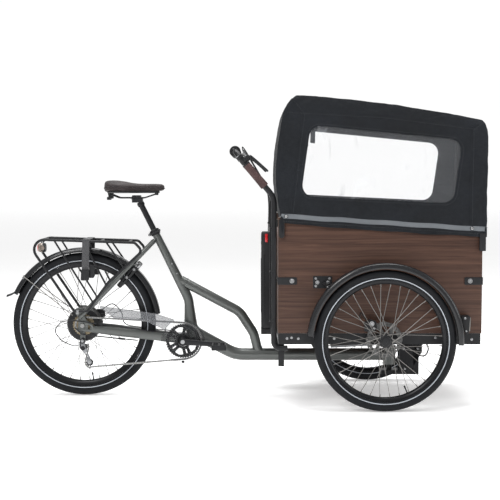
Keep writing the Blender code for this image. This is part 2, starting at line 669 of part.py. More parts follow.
def drivetrain():
    """Chain, chain guard, chainring, cranks, pedals, cassette and derailleur."""
    finish(tube("chain", chain_path(), CHAIN_RADIUS, 4, closed=True), "steel")

    guard_y = (-0.0606, -0.0590)
    guard = plate("chain_guard", [circle(BOTTOM_BRACKET, 0.102, 32),
                                  circle(BOTTOM_BRACKET, 0.030, 16)], *guard_y)
    band = rounded([(-0.663, 0.4265), (-0.579, 0.3640), (-0.431, 0.3520), (-0.335, 0.3050),
                    (-0.215, 0.3300), (-0.230, 0.3560), (-0.382, 0.3870)], 0.008, 2)
    weld(guard, plate("guard_band", [band], guard_y[0] + 0.0001, guard_y[1] - 0.0001))
    finish(guard, "clear")

    ring_radius = CHAINRING_PITCH - CHAIN_RADIUS - CLEARANCE
    boss = 0.0250
    chainring = plate("chainring", [circle(BOTTOM_BRACKET, ring_radius, 42),
                                    circle(BOTTOM_BRACKET, boss + CLEARANCE, 20)],
                      CHAIN_LINE - 0.0018, CHAIN_LINE + 0.0018)
    finish(chainring, "steel", BOTTOM_BRACKET)
    direction = Vector((math.cos(CRANK_DROP), 0, -math.sin(CRANK_DROP)))
    crank_pieces = [chainring]
    for side_name, side in SIDES:
        aim = direction if side < 0 else -direction
        aside = Vector((0, side, 0))
        pedal_axis = BOTTOM_BRACKET + aim * CRANK_LENGTH
        arm_start = BOTTOM_BRACKET + aside * 0.082
        arm = bar(f"{side_name}_crank", arm_start, arm_start + aim * CRANK_LENGTH, 0.0140, 0.0260)
        inner = 0.0455 if side < 0 else 0.0740
        boss_radius = boss if side < 0 else 0.0180
        helpers = [
            rod(f"{side_name}_crank_boss", BOTTOM_BRACKET + aside * inner,
                BOTTOM_BRACKET + aside * 0.0900, boss_radius, 20),
            rod(f"{side_name}_crank_eye", pedal_axis + aside * 0.0740, pedal_axis + aside * 0.0900,
                0.0150, 14),
            rod(f"{side_name}_pedal_axle", pedal_axis + aside * 0.0800, pedal_axis + aside * 0.1860,
                0.0055, 10),
        ]
        if side > 0:
            helpers.append(rod("spindle", BOTTOM_BRACKET + Vector((0, -0.0451, 0)),
                               BOTTOM_BRACKET + aside * 0.0800, 0.0085, 14))
        crank_pieces.append(finish(weld(arm, *helpers), "black_steel"))
        pedal = block(f"{side_name}_pedal", *pedal_corners(pedal_axis, side))
        cut(pedal, rod(f"{side_name}_pedal_bore", pedal_axis, pedal_axis + aside * 0.1862, 0.0060, 10))
        body(f"{side_name}_pedal", pedal_axis, [finish(pedal, "black_plastic")])
    body("crankset", BOTTOM_BRACKET, crank_pieces)

    profile = [
        (0.0165, -0.0362), (0.052, -0.0362), (0.052, -0.0400), (0.046, -0.0400), (0.046, -0.0432),
        (0.0310, -0.0432), (0.0310, -0.0530), (0.028, -0.0530), (0.028, -0.0600), (0.0165, -0.0600),
    ]
    cassette = finish(turned("cassette", profile, REAR_AXLE, 24), "steel")
    body("cassette", REAR_AXLE, [cassette])
    axle_half = Vector((0, 0.0840, 0))
    axle = rod("rear_axle", REAR_AXLE - axle_half, REAR_AXLE + axle_half, 0.0060, 12)
    nuts = []
    for side_name, side in SIDES:
        inner = REAR_AXLE + Vector((0, side * (STAY_Y + 0.0044), 0))
        outer = REAR_AXLE + Vector((0, side * 0.0820, 0))
        nuts.append(rod(f"{side_name}_axle_nut", inner, outer, 0.0110, 6))
    finish(weld(axle, *nuts), "steel")
    derailleur()


def pedal_corners(axis, side):
    """Lowest and highest corner of a pedal about its axle."""
    inner, outer = sorted((side * 0.0960, side * 0.1880))
    low = (axis.x - 0.034, inner, axis.z - 0.0125)
    return low, (axis.x + 0.034, outer, axis.z + 0.0125)


def derailleur():
    """Derailleur body on the hanger, its cage, its two pulleys and the cable that works it."""
    mount = block("derailleur_body", (-0.7440, -0.0920, 0.2180), (-0.7040, -0.0722, 0.2740))
    finish(mount, "steel")
    cable_route = [(-0.7446, -0.0840, 0.2440), (-0.7760, -0.0840, 0.2440), (-0.8200, -0.0860, 0.2650),
                   (-0.8560, -0.0900, 0.3120), (-0.8200, -0.0880, 0.3540), (-0.7700, -0.0840, 0.3600),
                   (-0.6600, -0.0820, 0.3430)]
    finish(tube("gear_cable", bend(cable_route, (0.03, 0.03, 0.03, 0.03, 0.03), 3), 0.0025, 8),
           "black_plastic")

    reach = TENSION_PULLEY - GUIDE_PULLEY
    cheeks = []
    for name, y in (("outer_cheek", -0.0560), ("inner_cheek", -0.0400)):
        start = Vector((GUIDE_PULLEY.x, y, GUIDE_PULLEY.z)) - reach * 0.10
        end = Vector((TENSION_PULLEY.x, y, TENSION_PULLEY.z)) + reach * 0.10
        cheeks.append(bar(name, start, end, 0.0016, 0.0180))
    cage = cheeks[0]
    cage.name = "derailleur_cage"
    pins = []
    for name, pulley, outer in (
        ("guide_pin", GUIDE_PULLEY, -0.0716), ("tension_pin", TENSION_PULLEY, -0.0575),
    ):
        start = (pulley.x, outer, pulley.z)
        pins.append(rod(name, start, (pulley.x, -0.0385, pulley.z), 0.0030, 10))
    finish(weld(cage, cheeks[1], *pins), "steel")
    body("derailleur_cage", GUIDE_PULLEY, [cage])
    for name, pulley in (("guide_pulley", GUIDE_PULLEY), ("tension_pulley", TENSION_PULLEY)):
        wheel = plate(name, [circle(pulley, PULLEY_PITCH - CHAIN_RADIUS - CLEARANCE, 20),
                             circle(pulley, 0.0034, 10)], CHAIN_LINE - 0.0035, CHAIN_LINE + 0.0035)
        body(name, pulley, [finish(wheel, "black_plastic", pulley)])


# ---------------------------------------------------------------- box and steering


def steering_frame():
    """Welded steel frame under the box: rails, axle beam, kingpin bracket and steering stops."""
    top = BOX_BOTTOM - CLEARANCE
    out = BOX_HALF_WIDTH - 0.001
    flange_in = out - 0.030
    skin = 0.004
    rear, front = BOX_REAR + 0.0015, BOX_FRONT - 0.004
    under = top - skin
    base = block("box_rail_frame", (rear, -out, RAIL_BOTTOM), (front, out, top))
    cut(
        base,
        block("rail_hollow", (rear + skin, -out + skin, 0.2), (front - skin, out - skin, under)),
        block("rear_gap", (rear + 0.040, -flange_in, 0.2), (FRONT_AXLE_X - 0.025, flange_in, 0.4)),
        block("front_gap", (KINGPIN.x + 0.085, -flange_in, 0.2), (front - 0.040, flange_in, 0.4)),
    )
    beam_half = 0.020
    pieces = [
        block("axle_beam", (FRONT_AXLE_X - beam_half, -out + 0.002, 0.2900),
              (FRONT_AXLE_X + beam_half, out - 0.002, under + 0.002)),
        block("kingpin_top", (0.640, -0.045, 0.2500), (0.835, 0.045, 0.2800)),
        block("kingpin_rise", (0.6300, -0.0445, 0.2700), (0.800, 0.0445, under + 0.001)),
        block("kingpin_front", (0.808, -0.035, 0.1000), (0.8345, 0.035, 0.2700)),
        block("kingpin_bottom", (0.660, -0.0345, 0.1005), (0.820, 0.0345, 0.1200)),
    ]
    for side_name, side in SIDES:
        ends = sorted((side * 0.257, side * 0.283))
        pieces.append(block(f"{side_name}_stop_post", (rear + 0.001, ends[0], 0.178),
                            (rear + 0.027, ends[1], under + 0.001)))
        axle_z = FRONT_RADIUS
        start = (FRONT_AXLE_X, side * 0.290, axle_z)
        pieces.append(rod(f"{side_name}_stub_axle", start, (FRONT_AXLE_X, side * 0.4320, axle_z),
                          0.0098, 16))
    weld(base, *pieces)
    cut(base, rod("bracket_bore", KINGPIN - Vector((0, 0, 0.15)), KINGPIN + Vector((0, 0, 0.15)),
                  KINGPIN_RADIUS + CLEARANCE, 16))
    finish(base, "black_steel")
    pin = rod("kingpin", KINGPIN - Vector((0, 0, 0.092)), KINGPIN + Vector((0, 0, 0.095)),
              KINGPIN_RADIUS, 16)
    finish(pin, "steel")
    return base


def box():
    """Five plywood panels: a floor, two sides with sloping tops, a rear and a front."""
    inner = BOX_HALF_WIDTH - PANEL - CLEARANCE
    bottom = BOX_BOTTOM
    side_outline = [(BOX_REAR, bottom), (BOX_FRONT, bottom), (BOX_FRONT, 0.790), (BOX_REAR, 0.842)]
    panels = []
    for side_name, side in SIDES:
        faces = sorted((side * BOX_HALF_WIDTH, side * (BOX_HALF_WIDTH - PANEL)))
        panels.append(plate(f"box_{side_name}_panel", [side_outline], *faces))
    panels += [
        block("box_rear_panel", (BOX_REAR, -inner, bottom), (BOX_REAR + PANEL, inner, 0.812)),
        block("box_front_panel", (BOX_FRONT - PANEL, -inner, bottom), (BOX_FRONT, inner, 0.752)),
        block("box_floor", (BOX_REAR + PANEL + CLEARANCE, -inner, bottom),
              (BOX_FRONT - PANEL - CLEARANCE, inner, bottom + 0.012)),
    ]
    for panel in panels:
        finish(panel, "wood")
    return panels


def canopy():
    """Rain canopy: a thin cover open below, its poles, and three clear windows."""
    front = OVERALL_LENGTH / 2
    corners = [(0.190, 0.816), (0.158, 1.000), (0.190, 1.300), (0.243, 1.390), (1.060, 1.276),
               (front, 1.225), (front, 0.755)]
    half = CANOPY_HALF_WIDTH
    cover = canopy_solid("canopy_cover", corners, half)
    inner = [(x - math.copysign(CANOPY_WALL, x - 0.6), z - CANOPY_WALL) for x, z in corners]
    inner[0] = (inner[0][0], 0.600)
    inner[-1] = (inner[-1][0], 0.600)
    cut(cover, canopy_solid("canopy_space", inner, half - CANOPY_WALL))
    window_corners = [(0.268, 0.934), (0.310, 1.256), (0.984, 1.174), (0.950, 0.898)]
    margin = 0.0005
    hole = rounded(window_corners, 0.055)
    middle = (0.63, 1.06)
    pane = [(x - math.copysign(margin, x - middle[0]), z - math.copysign(margin, z - middle[1]))
            for x, z in hole]
    cut(cover, plate("side_window_hole", [hole], -0.4, 0.4))
    front_hole = block("front_window_hole", (front - 0.02, -0.200, 0.930), (front + 0.02, 0.200, 1.170))
    cut(cover, front_hole)
    finish(cover, "canopy")
    pieces = [cover]
    for side_name, side in SIDES:
        faces = sorted((side * (half - 0.0033), side * (half - 0.0007)))
        pieces.append(finish(plate(f"canopy_{side_name}_window", [pane], *faces), "clear"))
    front_pane = block("canopy_front_window", (front - 0.0033, -0.1995, 0.9305),
                       (front - 0.0007, 0.1995, 1.1695))
    pieces.append(finish(front_pane, "clear"))

    poles = []
    for name, foot, knee, peak in (
        ("rear_hoop", (0.200, 0.706), (0.205, 1.000), (0.262, 1.358)),
        ("front_hoop", (1.045, 0.660), (1.050, 0.900), (1.058, 1.245)),
    ):
        y = 0.284
        route = [(foot[0], -y, foot[1]), (knee[0], -y, knee[1]), (peak[0], -y, peak[1]),
                 (peak[0], y, peak[1]), (knee[0], y, knee[1]), (foot[0], y, foot[1])]
        poles.append(tube(name, bend(route, (0.2, 0.05, 0.05, 0.2), 2), 0.0060, 6))
    frame_of_poles = poles[0]
    frame_of_poles.name = "canopy_poles"
    weld(frame_of_poles, poles[1], rod("ridge_pole", (0.262, 0, 1.358), (1.058, 0, 1.245), 0.0050, 7))
    pieces.append(finish(frame_of_poles, "black_steel"))
    return pieces


def canopy_solid(name, corners, half_width):
    """The canopy's side outline, with its corners rounded, across the box's width."""
    path = bend([(x, 0, z) for x, z in corners], (0.30, 0.10, 0.05, 0.03, 0.03), 3)
    return plate(name, [[(point.x, point.z) for point in path]], -half_width, half_width)


def handlebar():
    """One bent push bar, two grips, and a brake lever beside each grip."""
    foot = (0.215, UPRIGHT_Y, 0.2620)
    heel = (UPRIGHT_X, UPRIGHT_Y, 0.2620)
    knee = (BAR_KNEE.x, UPRIGHT_Y, BAR_KNEE.z)
    top = (BAR_TOP.x, UPRIGHT_Y, BAR_TOP.z)
    half = [foot, heel, knee, top]
    other = [(x, -y, z) for x, y, z in reversed(half)]
    route = bend(half + other, (0.030, 0.080, 0.045, 0.045, 0.080, 0.030), 4)
    push_bar = tube("handlebar", route, BAR_RADIUS, 10)
    slope = (BAR_TOP - BAR_KNEE).normalized()
    ahead = Vector((slope.z, 0, -slope.x))
    pieces = [push_bar]
    brackets = []
    for side_name, side in SIDES:
        aside = Vector((0, side * UPRIGHT_Y, 0))
        tab_ends = sorted((side * 0.292, side * 0.308))
        brackets.append(block(f"{side_name}_bar_bracket", (UPRIGHT_X, tab_ends[0], 0.800),
                              (BOX_REAR - CLEARANCE, tab_ends[1], 0.832)))
        perch = BAR_KNEE + slope * 0.2080 + aside
        brackets.append(bar(f"{side_name}_lever_perch", perch - ahead * 0.004, perch + ahead * 0.0300,
                            0.0200, 0.0200))
    weld(push_bar, *brackets)
    finish(push_bar, "black_steel")

    levers = []
    for side_name, side in SIDES:
        aside = Vector((0, side * UPRIGHT_Y, 0))
        low = BAR_KNEE + slope * 0.062 + aside
        high = BAR_KNEE + slope * 0.192 + aside
        grip = rod(f"{side_name}_grip", low, high, 0.0185, 16, 0.0180)
        cut(grip, rod(f"{side_name}_grip_bore", low - slope * 0.01, high + slope * 0.01,
                      BAR_RADIUS + 0.0009, 12))
        pieces.append(finish(grip, "grip"))
        pivot = BAR_KNEE + slope * 0.2080 + ahead * 0.0372 + aside
        tip = pivot - slope * 0.105 + ahead * 0.016
        lever = bar(f"{side_name}_brake_lever", pivot + (pivot - tip) * 0.06, tip, 0.0120, 0.0090)
        levers.append((side_name, pivot, finish(lever, "steel", pivot)))
    for side_name, pivot, lever in levers:
        body(f"{side_name}_brake_lever", pivot, [lever])
    return pieces


def front_mudguards_lamps_and_calipers():
    """A mudguard, a brake caliper and a lamp on each side of the box."""
    pieces = []
    for side_name, side in SIDES:
        centre = Vector((FRONT_AXLE_X, side * TRACK / 2, FRONT_RADIUS))
        guard = mudguard_shell(f"front_{side_name}_mudguard", centre, 0.340, -3, 176, 0.0300)
        near = side * (BOX_HALF_WIDTH + CLEARANCE)
        plate_ends = sorted((near, near + side * 0.004))
        bracket = block(f"{side_name}_guard_plate", (0.326, plate_ends[0], 0.530),
                        (0.410, plate_ends[1], 0.583))
        shell_point = polar(centre, 0.3380, 137, side * 0.3790)
        arm = rod(f"{side_name}_guard_arm", (0.368, near + side * 0.002, 0.556), shell_point, 0.0060, 8)
        tail = polar(centre, 0.3375, 174.5, side * 0.3790)
        tail_root = (tail.x - 0.004, near + side * 0.0015, tail.z)
        tail_arm = rod(f"{side_name}_guard_tail_arm", tail_root, tail, 0.0060, 8)
        weld(arm, bracket)
        weld(guard, arm, tail_arm)
        pieces.append(finish(guard, "black_plastic"))

        inboard, slot = side * (BOX_HALF_WIDTH + CLEARANCE), sorted((side * 0.3600, side * 0.3650))
        faces = sorted((inboard, side * 0.3735))
        caliper = block(f"front_{side_name}_caliper", (0.548, faces[0], 0.3400), (0.604, faces[1], 0.4000))
        cut(caliper, block(f"{side_name}_disc_slot", (0.5565, slot[0], 0.300), (0.700, slot[1], 0.500)))
        pieces.append(finish(caliper, "black_steel"))

        lamp_faces = sorted((side * (BOX_HALF_WIDTH + CLEARANCE), side * 0.3560))
        outline = [(0.970, 0.412), (0.984, 0.350), (0.994, 0.3320), (1.012, 0.3320), (1.017, 0.412)]
        lamp = plate(f"front_{side_name}_lamp", [outline], *lamp_faces)
        pieces.append(finish(lamp, "black_plastic"))
    return pieces


def battery():
    """Battery that slides up out of its dock on the rear panel, and the dock."""
    pack = block("battery", (0.1000, -0.0425, 0.3134), (0.1626, 0.0425, 0.7650))
    bevel = pack.modifiers.new("rounded_edges", "BEVEL")
    bevel.width = 0.010
    bevel.segments = 2
    finish(pack, "black_plastic")
    dock = block("battery_dock", (0.1630, -0.0400, 0.2900), (BOX_REAR - CLEARANCE, 0.0400, 0.7500))
    weld(dock, block("dock_shelf", (0.1000, -0.0450, 0.2895), (0.1710, 0.0450, 0.3130)))
    finish(dock, "black_plastic")
    body("battery", pack.location, [pack])
    return [dock]


def steered_parts():
    pieces = [steering_frame()]
    pieces += box()
    pieces += canopy()
    pieces += handlebar()
    pieces += front_mudguards_lamps_and_calipers()
    pieces += battery()
    body("steered_box", KINGPIN, pieces)


rear_wheel()
for side_label, side_sign in SIDES:
    front_wheel(side_label, side_sign)
frame()
seat_clamp()
seatpost_and_saddle()
rear_mudguard()
rack()
ring_lock()
rear_brake_and_cables()
drivetrain()
steered_parts()
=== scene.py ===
"""Looks of the cargo trike: fabric, wood, rubber, paint and small fittings over the shared frame.

Units are metres, in the frame's own axes: +X forward, +Y to the rider's left, +Z up.
"""

import math

import bmesh
import bpy
from mathutils import Matrix, Quaternion, Vector, noise
from mathutils.bvhtree import BVHTree


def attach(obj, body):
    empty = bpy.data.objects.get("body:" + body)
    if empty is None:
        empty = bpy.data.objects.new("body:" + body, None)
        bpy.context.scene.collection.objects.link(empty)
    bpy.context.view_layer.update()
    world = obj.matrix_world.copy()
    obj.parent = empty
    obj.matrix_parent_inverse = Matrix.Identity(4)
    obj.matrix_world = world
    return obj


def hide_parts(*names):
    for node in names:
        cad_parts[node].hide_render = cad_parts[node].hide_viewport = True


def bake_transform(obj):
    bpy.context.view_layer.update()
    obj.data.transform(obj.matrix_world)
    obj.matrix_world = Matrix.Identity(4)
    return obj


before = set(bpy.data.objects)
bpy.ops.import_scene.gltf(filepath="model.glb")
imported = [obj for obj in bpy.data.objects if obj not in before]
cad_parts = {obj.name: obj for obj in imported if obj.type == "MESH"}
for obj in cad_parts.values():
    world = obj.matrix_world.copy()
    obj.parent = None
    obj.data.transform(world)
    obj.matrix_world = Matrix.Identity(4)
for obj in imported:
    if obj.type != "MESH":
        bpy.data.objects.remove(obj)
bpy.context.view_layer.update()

SIDES = (("right", -1), ("left", 1))
UP = Vector((0, 0, 1))
LEFT = Vector((0, 1, 0))
AHEAD = Vector((1, 0, 0))


# ---------------------------------------------------------------- materials


class Paint:
    """A procedural material, with its textures in the object's own coordinates."""

    def __init__(self, name, colour, roughness, metallic=0.0, **sockets):
        self.material = bpy.data.materials.new(name)
        self.material.use_nodes = True
        self.tree = self.material.node_tree
        self.shader = self.tree.nodes["Principled BSDF"].inputs
        self.place = self.tree.nodes.new("ShaderNodeTexCoord").outputs["Object"]
        self.shader["Base Color"].default_value = (*colour, 1)
        self.shader["Roughness"].default_value = roughness
        self.shader["Metallic"].default_value = metallic
        for socket, value in sockets.items():
            self.shader[socket.replace("_", " ")].default_value = value

    def node(self, kind, values, **settings):
        made = self.tree.nodes.new("ShaderNode" + kind)
        for key, value in settings.items():
            setattr(made, key, value)
        for socket, value in values.items():
            if isinstance(value, bpy.types.NodeSocket):
                self.tree.links.new(value, made.inputs[socket])
            else:
                made.inputs[socket].default_value = value
        return made

    def noise(self, scale, stretch=(1, 1, 1), detail=3, distortion=0.0):
        place = self.node("Mapping", {"Vector": self.place, "Scale": stretch}).outputs[0]
        values = {"Vector": place, "Scale": scale, "Detail": detail, "Distortion": distortion}
        return self.node("TexNoise", values).outputs["Fac"]

    def bands(self, period, axis, distortion=0.0):
        """Waves of a period in metres along one axis."""
        values = {"Vector": self.place, "Scale": 0.314 / period, "Distortion": distortion}
        return self.node("TexWave", values, bands_direction=axis).outputs["Fac"]

    def blend(self, first, second, mode="MULTIPLY"):
        return self.node("Math", {0: first, 1: second}, operation=mode).outputs[0]

    def shades(self, factor, *stops):
        """Base colour from a factor, through (position, colour) stops."""
        ramp = self.node("ValToRGB", {"Fac": factor})
        elements = ramp.color_ramp.elements
        while len(elements) < len(stops):
            elements.new(0.5)
        for element, (position, colour) in zip(elements, stops):
            element.position = position
            element.color = (*colour, 1)
        self.tree.links.new(ramp.outputs["Color"], self.shader["Base Color"])
        return self

    def ranges(self, socket, factor, low, high):
        spread = self.node("MapRange", {"Value": factor, "To Min": low, "To Max": high})
        self.tree.links.new(spread.outputs[0], self.shader[socket])
        return self

    def bump(self, factor, depth):
        """Relief of a depth in metres, over any that is already there."""
        values = {"Height": factor, "Strength": 1.0, "Distance": depth}
        if self.shader["Normal"].links:
            values["Normal"] = self.shader["Normal"].links[0].from_socket
        made = self.node("Bump", values)
        self.tree.links.new(made.outputs["Normal"], self.shader["Normal"])
        return self


def speckled(paint, colour, spread, grain, depth, rough):
    """Slight changes of colour and roughness over large patches, and a fine grain."""
    patches = paint.noise(9, detail=5)
    dark = tuple(c * (1 - spread) for c in colour)
    light = tuple(min(1, c * (1 + spread)) for c in colour)
    paint.shades(patches, (0.3, dark), (0.7, light))
    paint.ranges("Roughness", paint.noise(35, detail=6), rough * 0.8, min(1, rough * 1.25))
    if depth:
        paint.bump(paint.noise(grain, detail=2), depth)
    return paint


def plain(name, colour, rough, metallic=0.0, spread=0.12, grain=700, depth=0.00008, **sockets):
    paint = Paint(name, colour, rough, metallic, **sockets)
    return speckled(paint, colour, spread, grain, depth, rough)


def wood_paint():
    paint = Paint("walnut_film", (0.08, 0.042, 0.029), 0.46, Specular_IOR_Level=0.25)
    swirl = paint.noise(2.2, (1, 1, 2.0), 2)
    stretch = paint.node("Mapping", {"Vector": paint.place, "Scale": (1.3, 1.3, 52)}).outputs[0]
    shift = paint.node("VectorMath", {0: stretch, 1: swirl}, operation="ADD").outputs[0]
    values = {"Vector": shift, "Scale": 1.5, "Detail": 7, "Roughness": 0.62, "Distortion": 0.7}
    grain = paint.node("TexNoise", values).outputs["Fac"]
    paint.shades(grain, (0.28, (0.036, 0.0182, 0.0130)), (0.46, (0.060, 0.0300, 0.0210)),
                 (0.56, (0.080, 0.0405, 0.0278)), (0.74, (0.110, 0.0575, 0.0385)))
    pores = paint.noise(60, (1, 1, 24), 4)
    paint.ranges("Roughness", pores, 0.34, 0.55)
    paint.bump(paint.blend(grain, pores, "ADD"), 0.00022)
    return paint


def ply_paint():
    paint = Paint("plywood_edge", (0.5, 0.42, 0.34), 0.7)
    layers = paint.noise(30, (1, 30, 1), 2)
    paint.shades(layers, (0.40, (0.30, 0.22, 0.17)), (0.58, (0.58, 0.50, 0.42)))
    return paint.bump(paint.noise(420, (1, 8, 1), 3), 0.0002)


def fabric_paint(name, colour, period, depth, sheen=0.015):
    paint = Paint(name, colour, 0.72, Sheen_Weight=sheen, Sheen_Roughness=0.4, Specular_IOR_Level=0.28)
    patches = paint.noise(5, (1, 1, 1), 6, 0.4)
    dark = tuple(c * 0.72 for c in colour)
    light = tuple(c * 1.38 for c in colour)
    paint.shades(patches, (0.32, dark), (0.68, light))
    paint.ranges("Roughness", paint.noise(60, detail=5), 0.60, 0.86)
    warp = paint.blend(paint.bands(period, "X"), paint.bands(period, "Z"), "MAXIMUM")
    weft = paint.blend(warp, paint.bands(period, "Y"), "ADD")
    paint.bump(paint.noise(9, (1, 1, 1.6), 5, 1.1), 0.010)
    return paint.bump(weft, depth)


def herringbone_paint():
    paint = Paint("strap_webbing", (0.045, 0.045, 0.047), 0.7, Sheen_Weight=0.2)
    zigzag = paint.node("SeparateXYZ", {"Vector": paint.place}).outputs
    folded = paint.node("Math", {0: zigzag["X"], 1: 0.0045}, operation="PINGPONG").outputs[0]
    slant = paint.blend(zigzag["Z"], folded, "ADD")
    stripes = paint.node("Math", {0: slant, 1: 0.0022}, operation="PINGPONG").outputs[0]
    level = paint.blend(stripes, 450.0)
    paint.shades(level, (0.35, (0.007, 0.007, 0.008)), (0.65, (0.095, 0.095, 0.10)))
    return paint.bump(level, 0.0005)


def clear_paint(name, tint, low, high, streak):
    """Clear flexible sheet: nearly all seen through, with painted highlights as whitish streaks along its
    creases.
    """
    paint = Paint(name, tint, 0.10, Specular_IOR_Level=0.8)
    paint.shades(paint.noise(12, detail=3), (0.3, tint), (0.7, tuple(min(1, c * 1.1) for c in tint)))
    creases = paint.noise(5.5, streak, 5, 1.6)
    # Painted highlight: where the crease noise is high the sheet is less clear, so its whitish tint shows as
    # bright streaks.
    sharp = paint.node("MapRange", {"Value": creases, "From Min": 0.60, "From Max": 0.74,
                                    "To Min": low, "To Max": high}).outputs[0]
    paint.tree.links.new(sharp, paint.shader["Alpha"])
    paint.ranges("Roughness", creases, 0.05, 0.20)
    return paint.bump(creases, 0.0012)


def guard_paint(name, tint, low, high):
    """Smooth moulded clear plastic, a little smoky."""
    paint = Paint(name, tint, 0.3, Specular_IOR_Level=0.2)
    haze = paint.noise(14, detail=3)
    paint.shades(haze, (0.3, tint), (0.7, tuple(c * 1.15 for c in tint)))
    paint.ranges("Alpha", haze, low, high)
    paint.ranges("Roughness", paint.noise(60, detail=3), 0.25, 0.40)
    return paint.bump(haze, 0.0002)


def rubber_paint(name, colour):
    paint = plain(name, colour, 0.66, spread=0.2, grain=520, depth=0.0003, Specular_IOR_Level=0.2)
    return paint.bump(paint.noise(130, detail=3), 0.0003)


def hide_paint(name, colour, seam_tone):
    """Grained artificial leather."""
    paint = Paint(name, colour, 0.5, Specular_IOR_Level=0.25)
    cells = paint.node("TexVoronoi", {"Vector": paint.place, "Scale": 620.0}).outputs["Distance"]
    paint.shades(paint.noise(16, detail=5), (0.3, tuple(c * 0.75 for c in colour)), (0.7, seam_tone))
    paint.ranges("Roughness", cells, 0.62, 0.42)
    return paint.bump(cells, 0.00035)


FRAME_GREY = (0.099, 0.105, 0.101)
paints = {
    "frame": plain("frame_grey_green", FRAME_GREY, 0.34, 0.62, 0.06, 1500, 0.00003,
                   Coat_Weight=0.35, Coat_Roughness=0.22),
    "steel_black": plain("powder_black", (0.016, 0.0165, 0.018), 0.42, 0.2, 0.1, 900, 0.00008,
                         Specular_IOR_Level=0.3),
    "tube_black": plain("rack_black", (0.015, 0.0155, 0.017), 0.34, 0.25, 0.1, 900, 0.00005,
                        Specular_IOR_Level=0.3),
    "plastic": plain("moulded_black", (0.012, 0.0125, 0.014), 0.46, 0.0, 0.15, 1100, 0.0001,
                     Specular_IOR_Level=0.3),
    "gloss": plain("gloss_black", (0.010, 0.0105, 0.012), 0.20, 0.0, 0.1, 500, 0.00003),
    "rubber": rubber_paint("tyre_rubber", (0.0080, 0.0088, 0.0105)),
    "line": plain("reflective_line", (0.42, 0.45, 0.49), 0.38, 0.1, 0.1, 1500, 0.0001),
    "rim": plain("rim_black", (0.012, 0.0125, 0.014), 0.30, 0.6, 0.1, 400, 0.00003),
    "spoke": plain("stainless", (0.20, 0.192, 0.182), 0.36, 0.45, 0.06, 600, 0.00003),
    "disc": plain("disc_steel", (0.105, 0.105, 0.104), 0.34, 0.9, 0.1, 800, 0.00004),
    # A darker copy of the stainless for the rear wheel's spokes: painted shade.
    "spoke_painted_shade": plain("stainless_painted_shade", (0.055, 0.053, 0.050), 0.40, 0.3, 0.06, 600, 0.00003),
    "steel": plain("brushed_steel", (0.27, 0.27, 0.265), 0.34, 0.95, 0.1, 800, 0.00005),
    "chrome": plain("chrome", (0.30, 0.305, 0.31), 0.22, 1.0, 0.04, 300, 0.00001),
    "alloy": plain("polished_alloy", (0.235, 0.24, 0.25), 0.28, 0.95, 0.08, 500, 0.00004),
    "bronze": plain("bronze_cogs", (0.20, 0.165, 0.11), 0.36, 0.9, 0.15, 700, 0.00006),
    "wood": wood_paint(),
    "ply": ply_paint(),
    "canopy": fabric_paint("canopy_cloth", (0.0050, 0.0065, 0.0092), 0.0014, 0.00016),
    "tape": plain("reflective_tape", (0.130, 0.142, 0.155), 0.5, 0.1, 0.08, 1400, 0.0002),
    "webbing": herringbone_paint(),
    # The clear vinyl's whitish crease streaks are painted highlights.
    "clear": clear_paint("clear_vinyl", (0.80, 0.83, 0.88), 0.075, 0.36, (1, 1, 0.35)),
    "guard": guard_paint("clear_guard", (0.05, 0.051, 0.054), 0.16, 0.22),
    "guard_band": guard_paint("clear_guard_band", (0.16, 0.165, 0.175), 0.46, 0.56),
    "saddle": hide_paint("saddle_cover", (0.024, 0.0185, 0.0185), (0.040, 0.031, 0.031)),
    "grip": hide_paint("grip_cover", (0.048, 0.027, 0.027), (0.092, 0.052, 0.050)),
    "thread": plain("stitching", (0.075, 0.078, 0.085), 0.7, 0.0, 0.1, 900, 0.0001),
    "red": plain("red_lens", (0.62, 0.004, 0.010), 0.18, 0.0, 0.15, 200, 0.00005, Coat_Weight=0.5),
    "smoke": plain("smoky_lens", (0.23, 0.19, 0.16), 0.12, 0.3, 0.2, 200, 0.0001),
}


# ---------------------------------------------------------------- shapes


def squared(count, aside_power, upright_power):
    """Points round a unit circle that is pressed towards a box: a lower power is squarer."""
    ring = []
    for i in range(count):
        t = math.tau * i / count
        ring.append((math.copysign(abs(math.cos(t)) ** aside_power, math.cos(t)),
                     math.copysign(abs(math.sin(t)) ** upright_power, math.sin(t))))
    return ring


def polar(centre, radius, degrees, y=None):
    """A point in an upright plane, at an angle above the forward direction."""
    angle = math.radians(degrees)
    aside = centre[1] if y is None else y
    return Vector((centre[0] + radius * math.cos(angle), aside, centre[2] + radius * math.sin(angle)))


def bend(corners, radii, steps=8):
    """The points of a path through corners, with each inner corner rounded."""
    corners = [Vector(corner) for corner in corners]
    path = [corners[0]]
    for before, corner, after, radius in zip(corners, corners[1:], corners[2:], radii):
        back = (before - corner).normalized()
        ahead = (after - corner).normalized()
        half = back.angle(ahead) / 2
        centre = corner + (back + ahead).normalized() * radius / math.sin(half)
        first = corner + back * radius / math.tan(half) - centre
        last = corner + ahead * radius / math.tan(half) - centre
        turn = first.rotation_difference(last)
        path += [centre + Quaternion().slerp(turn, i / steps) @ first for i in range(steps + 1)]
    path.append(corners[-1])
    return path


def rounded(corners, radius, steps=6):
    """A closed (x, z) outline with rounded corners."""
    ring = [Vector((x, 0, z)) for x, z in corners]
    outline = []
    for before, corner, after in zip(ring[-1:] + ring[:-1], ring, ring[1:] + ring[:1]):
        outline += bend([before, corner, after], [radius], steps)[1:-1]
    return [(point.x, point.z) for point in outline]


def circle(centre, radius, sides=24):
    turns = [math.tau * i / sides for i in range(sides)]
    return [(centre[0] + radius * math.cos(t), centre[2] + radius * math.sin(t)) for t in turns]


